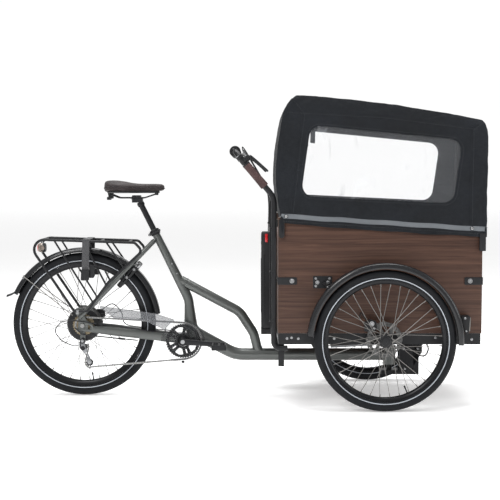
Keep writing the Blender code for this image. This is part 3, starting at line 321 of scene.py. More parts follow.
def smooth_path(points, spacing):
    """A Catmull-Rom path through points, at about an even spacing."""
    points = [Vector(point) for point in points]
    ends = [2 * points[0] - points[1]] + points + [2 * points[-1] - points[-2]]
    path = []
    for p0, p1, p2, p3 in zip(ends, ends[1:], ends[2:], ends[3:]):
        count = max(1, round((p2 - p1).length / spacing))
        for i in range(count):
            t = i / count
            path.append(0.5 * (2 * p1 + (p2 - p0) * t + (2 * p0 - 5 * p1 + 4 * p2 - p3) * t * t
                               + (3 * p1 - p0 - 3 * p2 + p3) * t ** 3))
    return path + [points[-1]]


def across_of(axis):
    """Two unit vectors square to an axis."""
    first = axis.cross(UP if abs(axis.z) < 0.9 else AHEAD).normalized()
    return first, axis.cross(first).normalized()


class Piece:
    """The faces of one object, gathered shape by shape."""

    def __init__(self, name, carrier, *names):
        self.name = name
        self.carrier = carrier
        self.paints = names
        self.points = []
        self.faces = []
        self.kinds = []

    def add(self, points, faces, paint=0):
        base = len(self.points)
        self.points += [tuple(point) for point in points]
        self.faces += [tuple(base + index for index in face) for face in faces]
        self.kinds += paint if isinstance(paint, list) else [paint] * len(faces)

    def add_bmesh(self, bm, paint=0, place=None):
        if place is not None:
            bm.transform(place)
        bm.verts.index_update()
        self.add([v.co for v in bm.verts], [[v.index for v in f.verts] for f in bm.faces], paint)
        bm.free()

    def rings(self, rows, paint=0, closed=False, caps=True):
        """Joins closed rings of points, one after another."""
        count = len(rows[0])
        pairs = list(range(len(rows) - 1)) + ([-1] if closed else [])
        faces = []
        for row in pairs:
            a, b = (row % len(rows)) * count, ((row + 1) % len(rows)) * count
            faces += [(a + i, a + (i + 1) % count, b + (i + 1) % count, b + i) for i in range(count)]
        if caps and not closed:
            last = (len(rows) - 1) * count
            faces += [tuple(range(count))[::-1], tuple(range(last, last + count))]
        self.add([point for row in rows for point in row], faces, paint)

    def tube(self, path, radius, sides=16, paint=0, closed=False, flat=1.0, caps=True):
        """A round tube along a path. A radius may be a list, and flat narrows it across."""
        path = [Vector(point) for point in path]
        radii = radius if isinstance(radius, list) else [radius] * len(path)
        ends = [path[-1]] + path + [path[0]] if closed else [path[0]] + path + [path[-1]]
        heading = (ends[2] - ends[0]).normalized()
        across, _ = across_of(heading)
        rows = []
        for before, point, after, size in zip(ends, path, ends[2:], radii):
            now = (after - before).normalized()
            across = heading.rotation_difference(now) @ across
            across = (across - now * across.dot(now)).normalized()
            heading = now
            up = now.cross(across)
            turns = [math.tau * i / sides for i in range(sides)]
            rows.append([point + (across * math.cos(t) * flat + up * math.sin(t)) * size for t in turns])
        self.rings(rows, paint, closed, caps)

    def turn(self, profile, origin, axis, steps=32, paint=0, closed=False):
        """A profile of (radius, height) turned about an axis; paint may be a list, by segment."""
        origin, axis = Vector(origin), Vector(axis).normalized()
        first, second = across_of(axis)
        rows = []
        for i in range(steps):
            t = math.tau * i / steps
            out = first * math.cos(t) + second * math.sin(t)
            rows.append([origin + axis * height + out * radius for radius, height in profile])
        count = len(profile)
        segments = count if closed else count - 1
        faces, kinds = [], []
        for i in range(steps):
            a, b = i * count, (i + 1) % steps * count
            for j in range(segments):
                k = (j + 1) % count
                faces.append((a + j, a + k, b + k, b + j))
                kinds.append(paint[j] if isinstance(paint, list) else paint)
        self.add([point for row in rows for point in row], faces, kinds)

    def plate(self, outline, y_low, y_high, holes=(), paint=0, bevel=0.0006):
        """A flat plate between two Y planes, with softened edges."""
        curve = bpy.data.curves.new(self.name, "CURVE")
        curve.dimensions = "2D"
        curve.fill_mode = "BOTH"
        curve.bevel_depth = bevel
        curve.bevel_resolution = 1
        curve.offset = -bevel
        curve.extrude = (y_high - y_low) / 2 - bevel
        for ring in (outline, *holes):
            spline = curve.splines.new("POLY")
            spline.use_cyclic_u = True
            spline.points.add(len(ring) - 1)
            for point, (x, z) in zip(spline.points, ring):
                point.co = (x, z, 0, 1)
        guide = bpy.data.objects.new(self.name, curve)
        mesh = bpy.data.meshes.new_from_object(guide)
        bm = bmesh.new()
        bm.from_mesh(mesh)
        bmesh.ops.remove_doubles(bm, verts=bm.verts, dist=0.00002)
        middle = Matrix.Translation((0, (y_low + y_high) / 2, 0))
        self.add_bmesh(bm, paint, middle @ Matrix.Rotation(math.pi / 2, 4, "X"))
        bpy.data.objects.remove(guide)
        bpy.data.curves.remove(curve)
        bpy.data.meshes.remove(mesh)

    def block(self, low, high, bevel=0.0012, paint=0, turn=None, segments=2):
        low, high = Vector(low), Vector(high)
        bm = bmesh.new()
        bmesh.ops.create_cube(bm, size=1, matrix=Matrix.Diagonal((*(high - low), 1)))
        if bevel:
            bmesh.ops.bevel(bm, geom=bm.edges[:], offset=bevel, segments=segments, profile=0.7,
                            affect="EDGES")
        self.add_bmesh(bm, paint, Matrix.Translation((low + high) / 2) @ (turn or Matrix()))

    def bar(self, start, end, width, height, bevel=0.0012, paint=0):
        """A straight bar: width runs across, height in the upright plane."""
        start, end = Vector(start), Vector(end)
        along = (end - start).normalized()
        across = (UP if abs(along.z) < 0.99 else AHEAD).cross(along).normalized()
        turn = Matrix((along, across, along.cross(across))).transposed().to_4x4()
        half = Vector(((end - start).length, width, height)) / 2
        middle = (start + end) / 2
        self.block(middle - half, middle + half, bevel, paint, turn)

    def bolt(self, at, axis, radius=0.0055, height=0.0035, paint=0, sides=6):
        """A bolt's head on its washer."""
        at, axis = Vector(at), Vector(axis).normalized()
        self.turn([(0, 0), (radius * 1.35, 0), (radius * 1.35, 0.0010), (0, 0.0010)], at, axis, 16, paint)
        rim = radius * 0.86
        self.turn([(0, 0.0008), (radius, 0.0008), (radius, height * 0.75), (rim, height), (0, height)],
                  at, axis, sides, paint)

    def done(self, replaces=(), smooth=40, ride=True):
        """Makes the object, which rides on its body."""
        mesh = bpy.data.meshes.new(self.name)
        mesh.from_pydata(self.points, [], self.faces)
        for name in self.paints:
            mesh.materials.append(paints[name].material)
        mesh.polygons.foreach_set("material_index", self.kinds)
        bm = bmesh.new()
        bm.from_mesh(mesh)
        bmesh.ops.remove_doubles(bm, verts=bm.verts, dist=0.000005)
        bmesh.ops.recalc_face_normals(bm, faces=bm.faces)
        bm.to_mesh(mesh)
        bm.free()
        mesh.shade_smooth()
        mesh.set_sharp_from_angle(angle=math.radians(smooth))
        obj = bpy.data.objects.new(self.name, mesh)
        bpy.context.scene.collection.objects.link(obj)
        if ride:
            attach(obj, self.carrier)
        if replaces:
            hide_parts(*([replaces] if isinstance(replaces, str) else replaces))
        return obj


# ---------------------------------------------------------------- wheels

REAR_AXLE = Vector((-0.7245, 0, 0.3335))
FRONT_X = 0.636
FRONT_RADIUS = 0.309
SECTION = 0.027


def tyre(name, carrier, node, centre, radius, line):
    """A tyre with slanted grooves in its tread and a reflective line on each wall."""
    steps = 264
    marks = [130, 122, line + 4, line - 4, 97, 88, 78, 68, 59, 50, 43, 36, 29, 22, 15, 7, 0]
    angles = marks + [-mark for mark in marks[-2::-1]]
    middle = radius - SECTION
    rows = []
    for i in range(steps):
        out = polar(Vector(), 1, 360 * i / steps)
        row = []
        for mark in angles:
            phi = math.radians(mark)
            depth = 0.0
            slant = round(abs(mark) / 11)
            if 10 < abs(mark) < 56 and (i + slant + (2 if mark < 0 else 0)) % 4 == 0:
                depth = 0.0014
            if 43 < abs(mark) < 56:
                depth += 0.0004
            size = SECTION - depth
            row.append(centre + out * (middle + size * math.cos(phi)) + LEFT * size * math.sin(phi))
        rows.append(row)
    lined = (angles.index(line + 4), angles.index(-(line - 4)))
    count = len(angles)
    faces, kinds = [], []
    for i in range(steps):
        a, b = i * count, (i + 1) % steps * count
        for j in range(count - 1):
            faces.append((a + j, a + j + 1, b + j + 1, b + j))
            kinds.append(1 if j in lined else 0)
    made = Piece(name, carrier, "rubber", "line")
    made.add([point for row in rows for point in row], faces, kinds)
    bead = middle + SECTION * math.cos(math.radians(130))
    made.turn([(bead, 0.0205), (bead + 0.003, 0.0170), (bead + 0.003, -0.0170), (bead, -0.0205)],
              centre, LEFT, 72)
    made.done(node, 50)


def rim(name, carrier, node, centre, radius, inner, valve_at):
    """A deep black rim, with a nipple at each spoke hole and a valve."""
    seat = radius - SECTION * (1 - math.cos(math.radians(130)))
    made = Piece(name, carrier, "rim", "spoke", "gloss")
    half = [(seat - 0.0004, 0.0150), (seat - 0.0008, 0.0168), (seat - 0.0035, 0.0165),
            (inner + 0.0060, 0.0130), (inner + 0.0018, 0.0090), (inner, 0.0045)]
    profile = half + [(r, -y) for r, y in reversed(half)]
    made.turn(profile, centre, LEFT, 108, closed=True)
    for i in range(36):
        side = 1 if i % 2 == 0 else -1
        root = polar(centre, inner + 0.001, 10 * i + 5, centre.y + side * 0.0022)
        inward = (Vector((centre.x, centre.y + side * 0.018, centre.z)) - root).normalized()
        made.turn([(0, 0), (0.0027, 0), (0.0024, 0.004), (0.0019, 0.013), (0, 0.013)], root, inward, 8, 1)
    stem = polar(centre, inner + 0.001, valve_at)
    inward = (centre - stem).normalized()
    made.turn([(0, 0), (0.0042, 0), (0.0042, 0.003), (0.0030, 0.005), (0.0030, 0.022), (0.0040, 0.023),
               (0.0040, 0.033), (0.0030, 0.035), (0, 0.035)], stem, inward, 12, 2)
    made.done(node)


def laced(made, centre, hub, reach, flange, cross, paint):
    """36 spokes that leave two flanges and cross one another on their way to the rim."""
    for i in range(36):
        side = 1 if i % 2 == 0 else -1
        sweep = cross if (i // 2) % 2 == 0 else -cross
        end = polar(centre, reach, 10 * i + 5, centre.y + side * 0.0024)
        lean = side * (flange + (0.0014 if sweep > 0 else -0.0014))
        start = polar(centre, hub, 10 * i + 5 + sweep, centre.y + lean)
        made.tube([start, end], 0.00135, 6, paint)
        made.turn([(0, -0.0014), (0.0022, -0.0012), (0.0018, 0.0006), (0, 0.0012)], start, LEFT * side,
                  8, paint)


def brake_disc(made, centre, y, paint, bolt_paint, outer=0.0795):
    """A brake disc with holes in its band and six slanting arms."""
    edge = []
    for i in range(144):
        lobe = 0.0010 * math.cos(math.radians(360 * 12 * i / 144))
        point = polar(centre, outer + lobe - 0.0010, 360 * i / 144)
        edge.append((point.x, point.z))
    holes = []
    for i in range(36):
        ring = outer - (0.0055 if i % 2 else 0.0110)
        holes.append(circle(polar(centre, ring, 10 * i), 0.0022, 10))
    for i in range(6):
        a = 60 * i
        spots = [(outer - 0.0200, a + 6), (outer - 0.0190, a + 30), (outer - 0.0200, a + 46),
                 (0.033, a + 30), (0.030, a + 12), (0.034, a - 4)]
        corners = [polar(centre, r, d) for r, d in spots]
        holes.append(rounded([(p.x, p.z) for p in corners], 0.0030, 3))
    made.plate(edge, y - 0.0010, y + 0.0010, holes, paint, 0.0002)
    for i in range(6):
        at = polar(centre, 0.0225, 60 * i + 15, y)
        made.bolt(at, LEFT * (1 if y > centre.y else -1), 0.0032, 0.0030, bolt_paint)


def rear_wheel():
    """The driven wheel, with its hub motor, spokes and brake disc."""
    carrier = "rear_wheel"
    tyre("rear_tyre_v", carrier, "rear_tyre", REAR_AXLE, 0.3335, 111)
    rim("rear_rim_v", carrier, "rear_rim", REAR_AXLE, 0.3335, 0.2650, -81.5)
    hub = Piece("rear_hub_v", carrier, "plastic", "spoke_painted_shade", "disc", "chrome")
    shell = [(0.0068, 0.0575), (0.0175, 0.0575), (0.0180, 0.0540), (0.0180, 0.0430), (0.0300, 0.0412),
             (0.0520, 0.0405), (0.0700, 0.0392), (0.0745, 0.0360), (0.0790, 0.0310), (0.0798, 0.0225),
             (0.0765, 0.0215), (0.0765, -0.0150), (0.0798, -0.0160), (0.0795, -0.0235),
             (0.0745, -0.0290), (0.0690, -0.0325), (0.0480, -0.0335), (0.0158, -0.0340),
             (0.0158, -0.0355), (0.0068, -0.0355)]
    tones = [0] * len(shell)
    tones[9] = tones[13] = 2
    hub.turn(shell, REAR_AXLE, LEFT, 72, tones, closed=True)
    for i in range(10):
        at = polar(REAR_AXLE, 0.0715, 36 * i + 8, 0.0382)
        hub.bolt(at, LEFT, 0.0030, 0.0025, 3)
    # The rear spokes take the darker copy of the stainless, which is painted shade.
    laced(hub, REAR_AXLE, 0.0780, 0.2650, 0.0185, 21, 1)
    brake_disc(hub, REAR_AXLE, 0.0510, 2, 3)
    hub.done("rear_hub_motor")


def front_wheels():
    """Both front wheels, each with its hub, spokes and brake disc."""
    for name, side in SIDES:
        carrier = f"front_{name}_wheel"
        centre = Vector((FRONT_X, side * 0.400, FRONT_RADIUS))
        tyre(f"front_{name}_tyre_v", carrier, f"front_{name}_tyre", centre, FRONT_RADIUS, 107)
        rim(f"front_{name}_rim_v", carrier, f"front_{name}_rim", centre, FRONT_RADIUS, 0.2475, -67)
        hub = Piece(f"front_{name}_hub_v", carrier, "plastic", "spoke", "disc", "chrome")
        profile = [(0, 0.0385), (0.0060, 0.0385), (0.0065, 0.0375), (0.0150, 0.0370), (0.0195, 0.0355),
                   (0.0210, 0.0320), (0.0210, 0.0262), (0.0225, 0.0252), (0.0280, 0.0240),
                   (0.0290, 0.0232), (0.0290, 0.0205), (0.0280, 0.0195), (0.0195, 0.0165),
                   (0.0178, 0.0120), (0.0178, -0.0120), (0.0195, -0.0165), (0.0280, -0.0195),
                   (0.0290, -0.0205), (0.0290, -0.0235), (0.0200, -0.0270), (0.0195, -0.0365),
                   (0.0250, -0.0365), (0.0250, -0.0385), (0.0180, -0.0438), (0.0114, -0.0450),
                   (0.0114, 0.0330), (0, 0.0330)]
        hub.turn(profile, centre, LEFT * side, 48)
        laced(hub, centre, 0.0268, 0.2475, 0.0220, 62, 1)
        brake_disc(hub, centre, centre.y - side * 0.0375, 2, 3)
        hub.done(f"front_{name}_hub")


# ---------------------------------------------------------------- wooden box

BOX_REAR, BOX_FRONT, BOX_SIDE = 0.172, 1.071, 0.310
PANEL = 0.015


def sorted_pair(first, second):
    """The two values, the lower one first."""
    return (first, second) if first < second else (second, first)


def panel(name, shape_low, shape_high, thin):
    """A plywood panel: veneered faces across its thin axis, and bare layered edges."""
    made = Piece(f"{name}_v", "steered_box", "wood", "ply")
    made.block(shape_low, shape_high, 0.0009)
    tint(made, thin)
    made.done(name)


def tint(made, thin):
    """Gives the bare edge to each face that doesn't look along the thin axis."""
    points = [Vector(point) for point in made.points]
    for index, face in enumerate(made.faces):
        normal = (points[face[1]] - points[face[0]]).cross(points[face[2]] - points[face[0]])
        if normal.length and abs(normal[thin]) < 0.5 * normal.length:
            made.kinds[index] = 1


def box():
    """The four panels and the floor of the box, and their fittings."""
    inner = BOX_SIDE - PANEL - 0.0004
    outline = [(BOX_REAR, 0.330), (BOX_FRONT, 0.330), (BOX_FRONT, 0.790), (BOX_REAR, 0.842)]
    for name, side in SIDES:
        made = Piece(f"box_{name}_panel_v", "steered_box", "wood", "ply")
        made.plate(outline, *sorted_pair(side * BOX_SIDE, side * (BOX_SIDE - PANEL)), (), 0, 0.0008)
        tint(made, 1)
        made.done(f"box_{name}_panel")
    panel("box_rear_panel", (BOX_REAR, -inner, 0.330), (BOX_REAR + PANEL, inner, 0.812), 0)
    panel("box_front_panel", (BOX_FRONT - PANEL, -inner, 0.330), (BOX_FRONT, inner, 0.752), 0)
    panel("box_floor", (BOX_REAR + PANEL + 0.0004, -inner, 0.330),
          (BOX_FRONT - PANEL - 0.0004, inner, 0.342), 2)
    box_fittings()


def box_fittings():
    """Straps round the corners, sockets for the canopy, and the bolts of box and rails."""
    made = Piece("box_fittings", "steered_box", "steel_black", "chrome")
    for _, side in SIDES:
        face = side * (BOX_SIDE + 0.0002)
        out = side * (BOX_SIDE + 0.0032)
        faces = sorted_pair(face, out)
        for edge, far, bolt_x in ((BOX_REAR, 0.255, 0.233), (BOX_FRONT, 0.993, 1.018)):
            ahead = 1 if edge > 0.6 else -1
            skin = edge + ahead * 0.0030
            low, high = sorted_pair(skin, far)
            round_end = rounded([(low, 0.545), (high, 0.545), (high, 0.578), (low, 0.578)], 0.006)
            made.plate(round_end, *faces)
            ends = sorted_pair(skin, edge + ahead * 0.0002)
            sides = sorted_pair(out, side * (BOX_SIDE - 0.075))
            made.block((ends[0], sides[0], 0.545), (ends[1], sides[1], 0.578), 0.0008)
            made.bolt((bolt_x, out, 0.5615), LEFT * side, 0.0078, 0.0040, 1)
            made.bolt((skin, side * (BOX_SIDE - 0.045), 0.5615), AHEAD * ahead, 0.0065, 0.0040, 1)
        thick = sorted_pair(face, side * (BOX_SIDE + 0.0120))
        made.block((0.1745, thick[0], 0.758), (0.2000, thick[1], 0.832), 0.0025)
        made.block((0.1790, thick[0], 0.752), (0.1955, thick[1], 0.762), 0.0020)
        made.block((1.0560, thick[0], 0.694), (1.0840, thick[1], 0.772), 0.0025)
        tongue = sorted_pair(side * 0.270, face)
        made.block((1.0715, tongue[0], 0.700), (1.0790, tongue[1], 0.745), 0.0015)
        rail = side * (BOX_SIDE - 0.0009)
        for x in (0.212, 0.232, 0.262, 0.335, 0.420, 0.868, 0.905, 1.028):
            made.bolt((x, rail, 0.306 + 0.004 * math.sin(x * 60)), LEFT * side, 0.0042, 0.0030, 1)
        for x, z in ((0.345, 0.556), (0.392, 0.556)):
            made.bolt((x, side * (BOX_SIDE + 0.0046), z), LEFT * side, 0.0066, 0.0035, 1)
    for side in (-1, 1):
        for x in (0.28, 0.45, 0.80, 0.96):
            made.turn([(0, 0), (0.0065, 0), (0.0045, 0.0022), (0, 0.0026)],
                      (x, side * 0.262, 0.3420), UP, 16, 1)
    made.done()


# ---------------------------------------------------------------- canopy

HALF = 0.320
REAR_EDGE = [(0.191, 0.8175), (0.176, 0.880), (0.164, 0.960), (0.1610, 1.050), (0.168, 1.140),
             (0.180, 1.230), (0.196, 1.305), (0.222, 1.352), (0.250, 1.3745)]
FRONT_EDGE = [(1.0865, 0.7560), (1.0870, 0.850), (1.0880, 0.950), (1.0885, 1.050), (1.0890, 1.130),
              (1.0885, 1.190), (1.0840, 1.225), (1.0760, 1.250), (1.0640, 1.2655)]
TAPE = ((0.186, 0.8480), (1.088, 0.7890))


def along(edge, t):
    """The (x, z) point at a share of the way along a line of points."""
    at = t * (len(edge) - 1)
    i = min(int(at), len(edge) - 2)
    share = at - i
    return tuple(a + (b - a) * share for a, b in zip(edge[i], edge[i + 1]))


def tent(u, w, v):
    """The point of the cover at shares along the length, across and up."""
    rear, front = along(REAR_EDGE, v), along(FRONT_EDGE, v)
    x = rear[0] + (front[0] - rear[0]) * u
    z = rear[1] + (front[1] - rear[1]) * u
    x += (along(REAR_EDGE, 1)[0] - rear[0]) * 0.10 * math.sin(math.pi * u) * (1 - v)
    z += 0.016 * math.sin(math.pi * u) * v ** 3 - 0.006 * math.sin(math.pi * u) * (1 - v)
    y = w * (HALF - 0.012 * v ** 4)
    return Vector((x, y, z))


def creased(point, normal, low):
    """How far the cloth stands in or out at a point: sags between poles, folds and small creases."""
    x, y, z = point
    out = 0.0
    if abs(normal.y) > 0.6:
        span = math.sin(math.pi * min(1, max(0, (x - 0.19) / 0.89)))
        rise = min(1, max(0, (z - low) / 0.5))
        out -= 0.0075 * span * math.sin(math.pi * min(1, rise * 1.05))
        slack = noise.noise(Vector((x * 7, y * 3, z * 2.0)))
        out += 0.0040 * slack * (1 - rise)
        folds = noise.noise(Vector((x * 4 + z * 9, y, z * 5 - x * 11)))
        edge = math.exp(-(((x - 0.215) / 0.05) ** 2)) + math.exp(-(((x - 1.055) / 0.04) ** 2))
        out += 0.0062 * folds * (0.35 + edge)
    elif normal.z > 0.6:
        span = math.sin(math.pi * min(1, max(0, (x - 0.26) / 0.80)))
        ridge = 1 - min(1, abs(y) / 0.30)
        out -= 0.013 * span * math.sin(math.pi * ridge) * 0.8
        out += 0.0045 * noise.noise(Vector((x * 6, y * 9, 3)))
    else:
        across = math.cos(math.pi / 2 * min(1, abs(y) / 0.31))
        out -= 0.0035 * across * math.sin(math.pi * min(1, max(0, (z - low) / 0.5)))
        out += 0.0030 * noise.noise(Vector((x * 5, y * 7, z * 11)))
    out += 0.0017 * noise.noise(point * 24) + 0.0008 * noise.noise(point * 55)
    return out


def stations(count, margin):
    """Shares from 0 to 1, closer together at both ends."""
    inner = [margin + (1 - 2 * margin) * i / count for i in range(count + 1)]
    return [0.0, margin * 0.35] + inner + [1 - margin * 0.35, 1.0]


def canopy():
    """One continuous cover with its seams, reflective tape, windows and poles."""
    lengths = stations(26, 0.030)
    widths = [2 * t - 1 for t in stations(14, 0.036)]
    heights = [0.0, 0.02] + [0.05 + 0.905 * i / 18 for i in range(19)] + [0.985, 1.0]
    grid = {}
    bm = bmesh.new()

    def corner(i, j, k):
        if (i, j, k) not in grid:
            grid[i, j, k] = bm.verts.new(tent(lengths[i], widths[j], heights[k]))
        return grid[i, j, k]

    last_i, last_j, last_k = len(lengths) - 1, len(widths) - 1, len(heights) - 1
    for k in range(last_k):
        for i in range(last_i):
            for j in (0, last_j):
                bm.faces.new([corner(i, j, k), corner(i + 1, j, k), corner(i + 1, j, k + 1),
                              corner(i, j, k + 1)])
        for j in range(last_j):
            for i in (0, last_i):
                bm.faces.new([corner(i, j, k), corner(i, j + 1, k), corner(i, j + 1, k + 1),
                              corner(i, j, k + 1)])
    for i in range(last_i):
        for j in range(last_j):
            bm.faces.new([corner(i, j, last_k), corner(i + 1, j, last_k),
                          corner(i + 1, j + 1, last_k), corner(i, j + 1, last_k)])
    bmesh.ops.recalc_face_normals(bm, faces=bm.faces)
    mesh = bpy.data.meshes.new("canopy_base")
    bm.to_mesh(mesh)
    bm.free()
    base = bpy.data.objects.new("canopy_base", mesh)
    bpy.context.scene.collection.objects.link(base)
    base.modifiers.new("round", "SUBSURF").levels = 2
    apply_all(base)
    centre = Vector((0.63, 0, 1.0))
    flip = 1 if sum(p.normal.dot(p.center - centre) for p in base.data.polygons) > 0 else -1
    normals = [v.normal * flip for v in base.data.vertices]
    for vert, normal in zip(base.data.vertices, normals):
        low = 0.815 - (vert.co.x - 0.19) * 0.068
        vert.co += normal * creased(vert.co, normal, low)
        wave = max(0, 1 - (vert.co.z - low) / 0.05)
        vert.co.z += wave * 0.0032 * noise.noise(Vector((vert.co.x * 9, vert.co.y * 9, 1)))
    base.data.update()
    shell = BVHTree.FromObject(base, bpy.context.evaluated_depsgraph_get())

    for side in (-1, 1):
        punch(base, side_window(), lambda co, s=side: (co.x, co.z) if co.y * s > 0.25 else None,
              lambda co, spot: Vector((spot[0], co.y, spot[1])))
    punch(base, front_window(), lambda co: (co.y, co.z) if co.x > 1.05 and abs(co.y) < 0.28 else None,
          lambda co, spot: Vector((co.x, spot[0], spot[1])))
    solid = base.modifiers.new("skin", "SOLIDIFY")
    solid.thickness = 0.0014
    solid.offset = 0
    apply_all(base)
    base.name = "canopy_cover_v"
    base.data.materials.clear()
    base.data.materials.append(paints["canopy"].material)
    softened(base)
    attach(base, "steered_box")
    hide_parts("canopy_cover")
    trims = [canopy_trim(shell), canopy_stitches(shell)]
    for name, side in SIDES:
        side_pane(shell, name, side)
    front_pane(shell)
    canopy_poles()


def inside(spot, outline):
    """Whether a spot lies inside an outline."""
    odd = False
    for (x0, z0), (x1, z1) in zip(outline, outline[1:] + outline[:1]):
        if (z0 > spot[1]) != (z1 > spot[1]) and spot[0] < (x1 - x0) * (spot[1] - z0) / (z1 - z0) + x0:
            odd = not odd
    return odd


def nearest(spot, outline):
    best = None
    point = Vector(spot)
    for first, second in zip(outline, outline[1:] + outline[:1]):
        a, b = Vector(first), Vector(second)
        t = max(0, min(1, (point - a).dot(b - a) / max((b - a).length_squared, 1e-12)))
        near = a + (b - a) * t
        if best is None or (near - point).length < (best - point).length:
            best = near
    return best


def punch(obj, outline, flat, back):
    """Opens a window: removes the faces inside an outline, and draws the edge left onto it."""
    bm = bmesh.new()
    bm.from_mesh(obj.data)
    within = set()
    for vert in bm.verts:
        spot = flat(vert.co)
        if spot is not None and inside(spot, outline):
            within.add(vert)
    gone = [face for face in bm.faces if all(vert in within for vert in face.verts)]
    kept = set(bm.faces) - set(gone)
    edge = [vert for vert in within if any(face in kept for face in vert.link_faces)]
    bmesh.ops.delete(bm, geom=gone, context="FACES")
    for vert in edge:
        if vert.is_valid:
            vert.co = back(vert.co, nearest(flat(vert.co), outline))
    bm.to_mesh(obj.data)
    bm.free()


def filled(outline, spacing):
    """Points and triangles that fill a flat outline."""
    low = [min(p[i] for p in outline) for i in (0, 1)]
    high = [max(p[i] for p in outline) for i in (0, 1)]
    counts = [round((high[i] - low[i]) / spacing) for i in (0, 1)]
    grid, faces = {}, []
    points = []

    def corner(i, j):
        if (i, j) not in grid:
            spot = (low[0] + i * (high[0] - low[0]) / counts[0], low[1] + j * (high[1] - low[1]) / counts[1])
            spot = spot if inside(spot, outline) else tuple(nearest(spot, outline))
            grid[i, j] = len(points)
            points.append(spot)
        return grid[i, j]

    for i in range(counts[0]):
        for j in range(counts[1]):
            middle = (low[0] + (i + 0.5) * (high[0] - low[0]) / counts[0],
                      low[1] + (j + 0.5) * (high[1] - low[1]) / counts[1])
            if inside(middle, outline):
                faces.append((corner(i, j), corner(i + 1, j), corner(i + 1, j + 1), corner(i, j + 1)))
    return points, faces


def pane(name, node, points, faces):
    """A clear window as one open sheet of vinyl."""
    made = Piece(name, "steered_box", "clear")
    made.add(points, faces)
    obj = made.done(node, 60)


def side_pane(shell, name, side):
    spots, faces = filled(grown(side_window(), 0.006), 0.012)
    points = []
    for x, z in spots:
        ripple = 0.0016 * noise.noise(Vector((x * 14, z * 4, side))) * math.sin(math.pi * (x - 0.2) / 0.8)
        crease = 0.0024 * math.exp(-(((x - 0.63) / 0.006) ** 2))
        points.append(on_cover(shell, x, z, side, -0.0022)[0] - LEFT * side * (crease + abs(ripple)))
    pane(f"canopy_{name}_window_v", f"canopy_{name}_window", points, faces)


def front_pane(shell):
    spots, faces = filled(grown_about(front_window(), (0, 1.05), 0.006), 0.012)
    points = []
    for y, z in spots:
        hit = shell.ray_cast(Vector((1.3, y, z)), -AHEAD)[0]
        ripple = 0.0014 * noise.noise(Vector((y * 12, z * 5, 4)))
        points.append((hit or Vector((1.088, y, z))) - AHEAD * (0.0025 + abs(ripple)))
    pane("canopy_front_window_v", "canopy_front_window", points, faces)


def front_window():
    return rounded([(-0.200, 0.931), (0.200, 0.931), (0.200, 1.169), (-0.200, 1.169)], 0.045, 6)


def side_window():
    corners = [(0.2640, 0.9280), (0.3080, 1.2520), (0.9850, 1.1860), (0.9450, 0.8960)]
    return rounded(corners, 0.058, 8)


def grown(outline, by):
    return grown_about(outline, (0.63, 1.06), by)


def grown_about(outline, middle, by):
    """An outline with its points moved away from a middle."""
    middle = Vector(middle)
    return [tuple(Vector(p) + (Vector(p) - middle).normalized() * by) for p in outline]


def apply_all(obj):
    """Turns an object's modifiers into its mesh."""
    bpy.context.view_layer.update()
    evaluated = obj.evaluated_get(bpy.context.evaluated_depsgraph_get())
    mesh = bpy.data.meshes.new_from_object(evaluated)
    obj.modifiers.clear()
    obj.data = mesh


def softened(obj, angle=50):
    """Smooth shading, with edges over an angle kept sharp."""
    obj.data.shade_smooth()
    obj.data.set_sharp_from_angle(angle=math.radians(angle))


def on_cover(shell, x, z, side, lift):
    """The point of the cover's side at (x, z), lifted off it, and the cover's normal there."""
    hit, normal, _, _ = shell.ray_cast(Vector((x, side * 0.5, z)), LEFT * -side)
    if hit is None:
        hit, normal = Vector((x, side * HALF, z)), LEFT * side
    if normal.y * side < 0:
        normal = -normal
    return hit + normal * lift, normal


def laid(shell, path, side, lift=0.0008):
    """A flat path laid on the cover's side."""
    return [on_cover(shell, x, z, side, lift)[0] for x, z in path]


def dense(path, spacing=0.008):
    """A path with points at an even spacing along each leg."""
    made = []
    for (x0, z0), (x1, z1) in zip(path, path[1:]):
        count = max(1, round(math.hypot(x1 - x0, z1 - z0) / spacing))
        made += [(x0 + (x1 - x0) * i / count, z0 + (z1 - z0) * i / count) for i in range(count)]
    return made + [path[-1]]


def ribbon(made, shell, path, side, width, paint, lift=0.0012, closed=False):
    """A flat strip laid on the cover along a path of (x, z) points."""
    rows = []
    count = len(path)
    for i, (x, z) in enumerate(path):
        before = path[i - 1] if closed or i else path[0]
        after = path[(i + 1) % count] if closed or i < count - 1 else path[-1]
        heading = Vector((after[0] - before[0], after[1] - before[1])).normalized()
        aside = Vector((-heading.y, heading.x)) * width / 2
        row = []
        for share, rise in ((-1, 0.0002), (-0.94, lift), (0, lift), (0.94, lift), (1, 0.0002)):
            spot = (x + aside.x * share, z + aside.y * share)
            row.append(on_cover(shell, *spot, side, rise)[0])
        row += [point - LEFT * side * 0.0006 for point in (row[4], row[0])]
        rows.append(row)
    made.rings(rows, paint, closed)


SEAMS = (
    [(0.200, 1.305), (0.62, 1.283), (1.036, 1.2300)],
    [(0.278, 1.296), (0.262, 1.180), (0.243, 1.000), (0.227, 0.862)],
    [(1.016, 1.2300), (1.014, 1.000), (1.012, 0.806)],
    [(1.016, 1.2300), (1.058, 1.262)],
    [(0.278, 1.296), (0.236, 1.352)],
)


